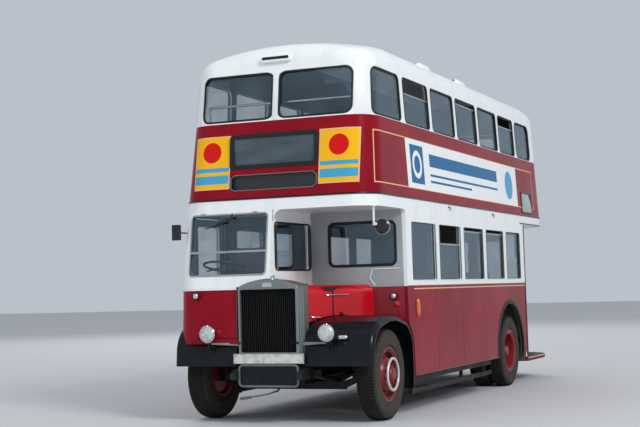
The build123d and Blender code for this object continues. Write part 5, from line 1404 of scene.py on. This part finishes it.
def cushions():
    """Crowned double cushions and backs in place of the plain pads."""
    patterns = {}
    groups = {}
    for low, high in loose_boxes("seat_pads"):
        size = high - low
        back = size.z > 0.2
        depth, thickness = (size.z, BACK_THICKNESS) if back else (size.y, size.z)
        key = (round(size.x, 3), round(depth, 3), round(thickness, 3), back)
        if key not in patterns:
            patterns[key] = cushion(size.x, depth, thickness)
        deck = "upper" if low.z > 2.7 else "driver" if low.y < station(0.6) else "lower"
        side = "nearside" if low.x > 0 else "offside"
        groups.setdefault(deck + "_" + side, []).append((key, pad_rule(low, high, back, depth)))
    replaced = ("seat_pads",)
    for name, members in groups.items():
        parts = [laid_copy(patterns[key], rule) for key, rule in members]
        piece = joined("seat_cushions_" + name, parts, "moquette", "root", 60, replaced)
        replaced = ()
    for pattern in patterns.values():
        bpy.data.objects.remove(pattern)


def cushion(width, depth, thickness):
    """A crowned pad with rolled edges: u across, v along its depth and w through it."""
    piece = start("cube", size=1)
    bpy.ops.mesh.subdivide(number_cuts=5)
    bpy.ops.object.mode_set(mode="OBJECT")
    double = width > 0.6
    for vertex in piece.data.vertices:
        u, v, w = (2 * part for part in vertex.co)
        seat = math.sin(math.pi * u) ** 2 if double else math.cos(math.pi * u / 2) ** 2
        crown = (1 - v * v) * (0.35 + 0.65 * seat) * (1 - u ** 6)
        edge = max(abs(u), abs(v)) ** 4
        swell = 0.0
        if w > 0.6:
            swell = thickness * (0.16 * crown - 0.22 * edge)
        elif w < -0.6:
            swell = thickness * 0.10 * edge
        vertex.co = (width / 2 * 0.985 * u * (1 - 0.02 * (1 - v * v)),
                     depth / 2 * 0.985 * v * (1 - 0.03 * (1 - u * u)), thickness / 2 * 0.86 * w + swell)
    modify(piece, "SUBSURF", levels=1, render_levels=1)
    return piece


def side_fittings():
    """The blank notice in the last lower window, hooks on the white band, and the pane at the upper rear."""
    wall = on_side(LOWER_SKIN, 1)
    notice = plate((station(4.83), station(5.55)), (1.575, 1.888), 0.006, -0.030, -0.026, wall, (), 0.0005)
    joined("blank_notice", [notice], "notice")
    hooks = []
    for along, z in ((2.211, 2.464), (4.229, 2.453)):
        y = station(along)
        x = side_x(LOWER_SKIN, y, z)
        bends = ((-0.004, 0.022), (0.016, 0.022), (0.024, 0.008), (0.020, -0.014), (0.030, -0.020))
        hooks.append(tube([(x + out, y, z + up) for out, up in bends], 0.006))
        hooks.append(turned([(-0.003, 0.0), (-0.003, 0.018), (0.004, 0.017), (0.006, 0.0)], 14,
                            standing((x, y, z + 0.022), "side")))
    joined("band_hooks", hooks, "bead")
    rule = on_side(UPPER_SKIN, 1)
    limits = ((station(5.92), station(6.52)), (2.580, 2.885))
    joined("rear_side_frame", [ring(*limits, 0.020, 0.012, 0.012, -0.004, 0.009, rule)], "bead")
    joined("rear_side_pane", [plate(*limits, 0.016, -0.002, 0.004, rule, (), 0.001)], "pane")


def front_fittings():
    """The bead on the bulkhead, the fillet where cab and canopy meet, and the valance below the cab."""
    outline = ((0.805, 1.507), (0.740, 1.595), (0.778, 1.699), (1.128, 1.702))
    joined("bulkhead_bead", [tube([(x, BULKHEAD_Y - 0.001, z) for x, z in outline], 0.007)], "white")
    reach = 0.125
    corner_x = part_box("cab_sides")[1][0] - 0.014
    corner_z = CANOPY_Z + 0.004

    def fillet(along, square):
        if square:
            across = max(2 * along - 1, 0)
            down = max(1 - 2 * along, 0)
        else:
            across = 1 - math.cos(math.pi / 2 * along)
            down = 1 - math.sin(math.pi / 2 * along)
        return corner_x + reach * across, corner_z - reach * down

    filled = thick(sheet(12, fillet), -0.030, 0.0015, 0.0, on_front(CAB_SKIN, CAB_CORNER_R))
    joined("canopy_fillet", [filled], "white")
    low_front = on_front(CAB_LOW_SKIN, CAB_CORNER_R)
    valance = plate((-1.12, -0.385), (0.892, 0.962), 0.006, -0.020, 0.0, low_front, CUTS["cab"], 0.002)
    joined("cab_valance", [valance], "coachwork")


window_frames()
beads()
cover_strips()
arch_bands()
blind_frames()
radiator_trim()
for side_name, side_sign in SIDES.items():
    headlamp(side_sign, side_name)
small_lamps()
for side_name, side_sign in SIDES.items():
    tyres(side_name, side_sign)
    front_wheel(side_name, side_sign)
    rear_wheel(side_name, side_sign)
bonnet_trim()
mirrors()
platform_trim()
cushions()
side_fittings()
front_fittings()


def light_and_floor():
    """A pale floor, a pale world, and three soft lamps with the brightest on the nearside."""
    bpy.ops.mesh.primitive_plane_add(size=160, location=(0, 0, 0))
    floor = bpy.context.object
    floor.name = "studio_floor"
    ground = Finish("studio_floor", roughness=0.9, base_color=(0.62, 0.62, 0.62, 1.0))
    floor.data.materials.append(ground.material)
    world = bpy.data.worlds.new("studio_world")
    bpy.context.scene.world = world
    world.use_nodes = True
    world.node_tree.nodes["Background"].inputs["Color"].default_value = (0.80, 0.86, 0.95, 1.0)
    world.node_tree.nodes["Background"].inputs["Strength"].default_value = 0.62
    lamps = (("key", (22, -16, 20), 9.0, 5200.0, True), ("fill", (-14, -22, 10), 16.0, 900.0, False),
             ("back", (-12, 22, 16), 14.0, 1700.0, False))
    for name, place, size, power, seen_in_gloss in lamps:
        data = bpy.data.lights.new(name, "AREA")
        data.size = size
        data.energy = power
        lamp = bpy.data.objects.new(name, data)
        bpy.context.scene.collection.objects.link(lamp)
        lamp.location = place
        lamp.visible_glossy = seen_in_gloss
        lamp.rotation_euler = (Vector((0, 0, 1.8)) - Vector(place)).to_track_quat("-Z", "Y").to_euler()


# The photograph's focal length and width in pixels
FOCAL_PIXELS = 1318.6
PHOTO_WIDTH = 640


def set_camera():
    """The camera at the photograph's place, found from the wheels, windows and body edges."""
    yaw = math.radians(23.31)
    pitch = math.radians(3.27)
    roll = math.radians(-1.52)
    data = bpy.data.cameras.new("camera")
    data.lens = FOCAL_PIXELS / PHOTO_WIDTH * data.sensor_width
    data.clip_end = 300
    camera = bpy.data.objects.new("camera", data)
    bpy.context.scene.collection.objects.link(camera)
    ahead = Vector((-math.sin(yaw) * math.cos(pitch), math.cos(yaw) * math.cos(pitch), math.sin(pitch)))
    level = Vector((math.cos(yaw), math.sin(yaw), 0))
    over = level.cross(ahead)
    right = math.cos(roll) * level + math.sin(roll) * over
    up = -math.sin(roll) * level + math.cos(roll) * over
    turn = Matrix((right, up, -ahead)).transposed()
    camera.matrix_world = Matrix.Translation((6.367, station(-13.947), 1.485)) @ turn.to_4x4()
    bpy.context.scene.camera = camera


light_and_floor()
set_camera()
bpy.context.scene.view_settings.view_transform = "Standard"
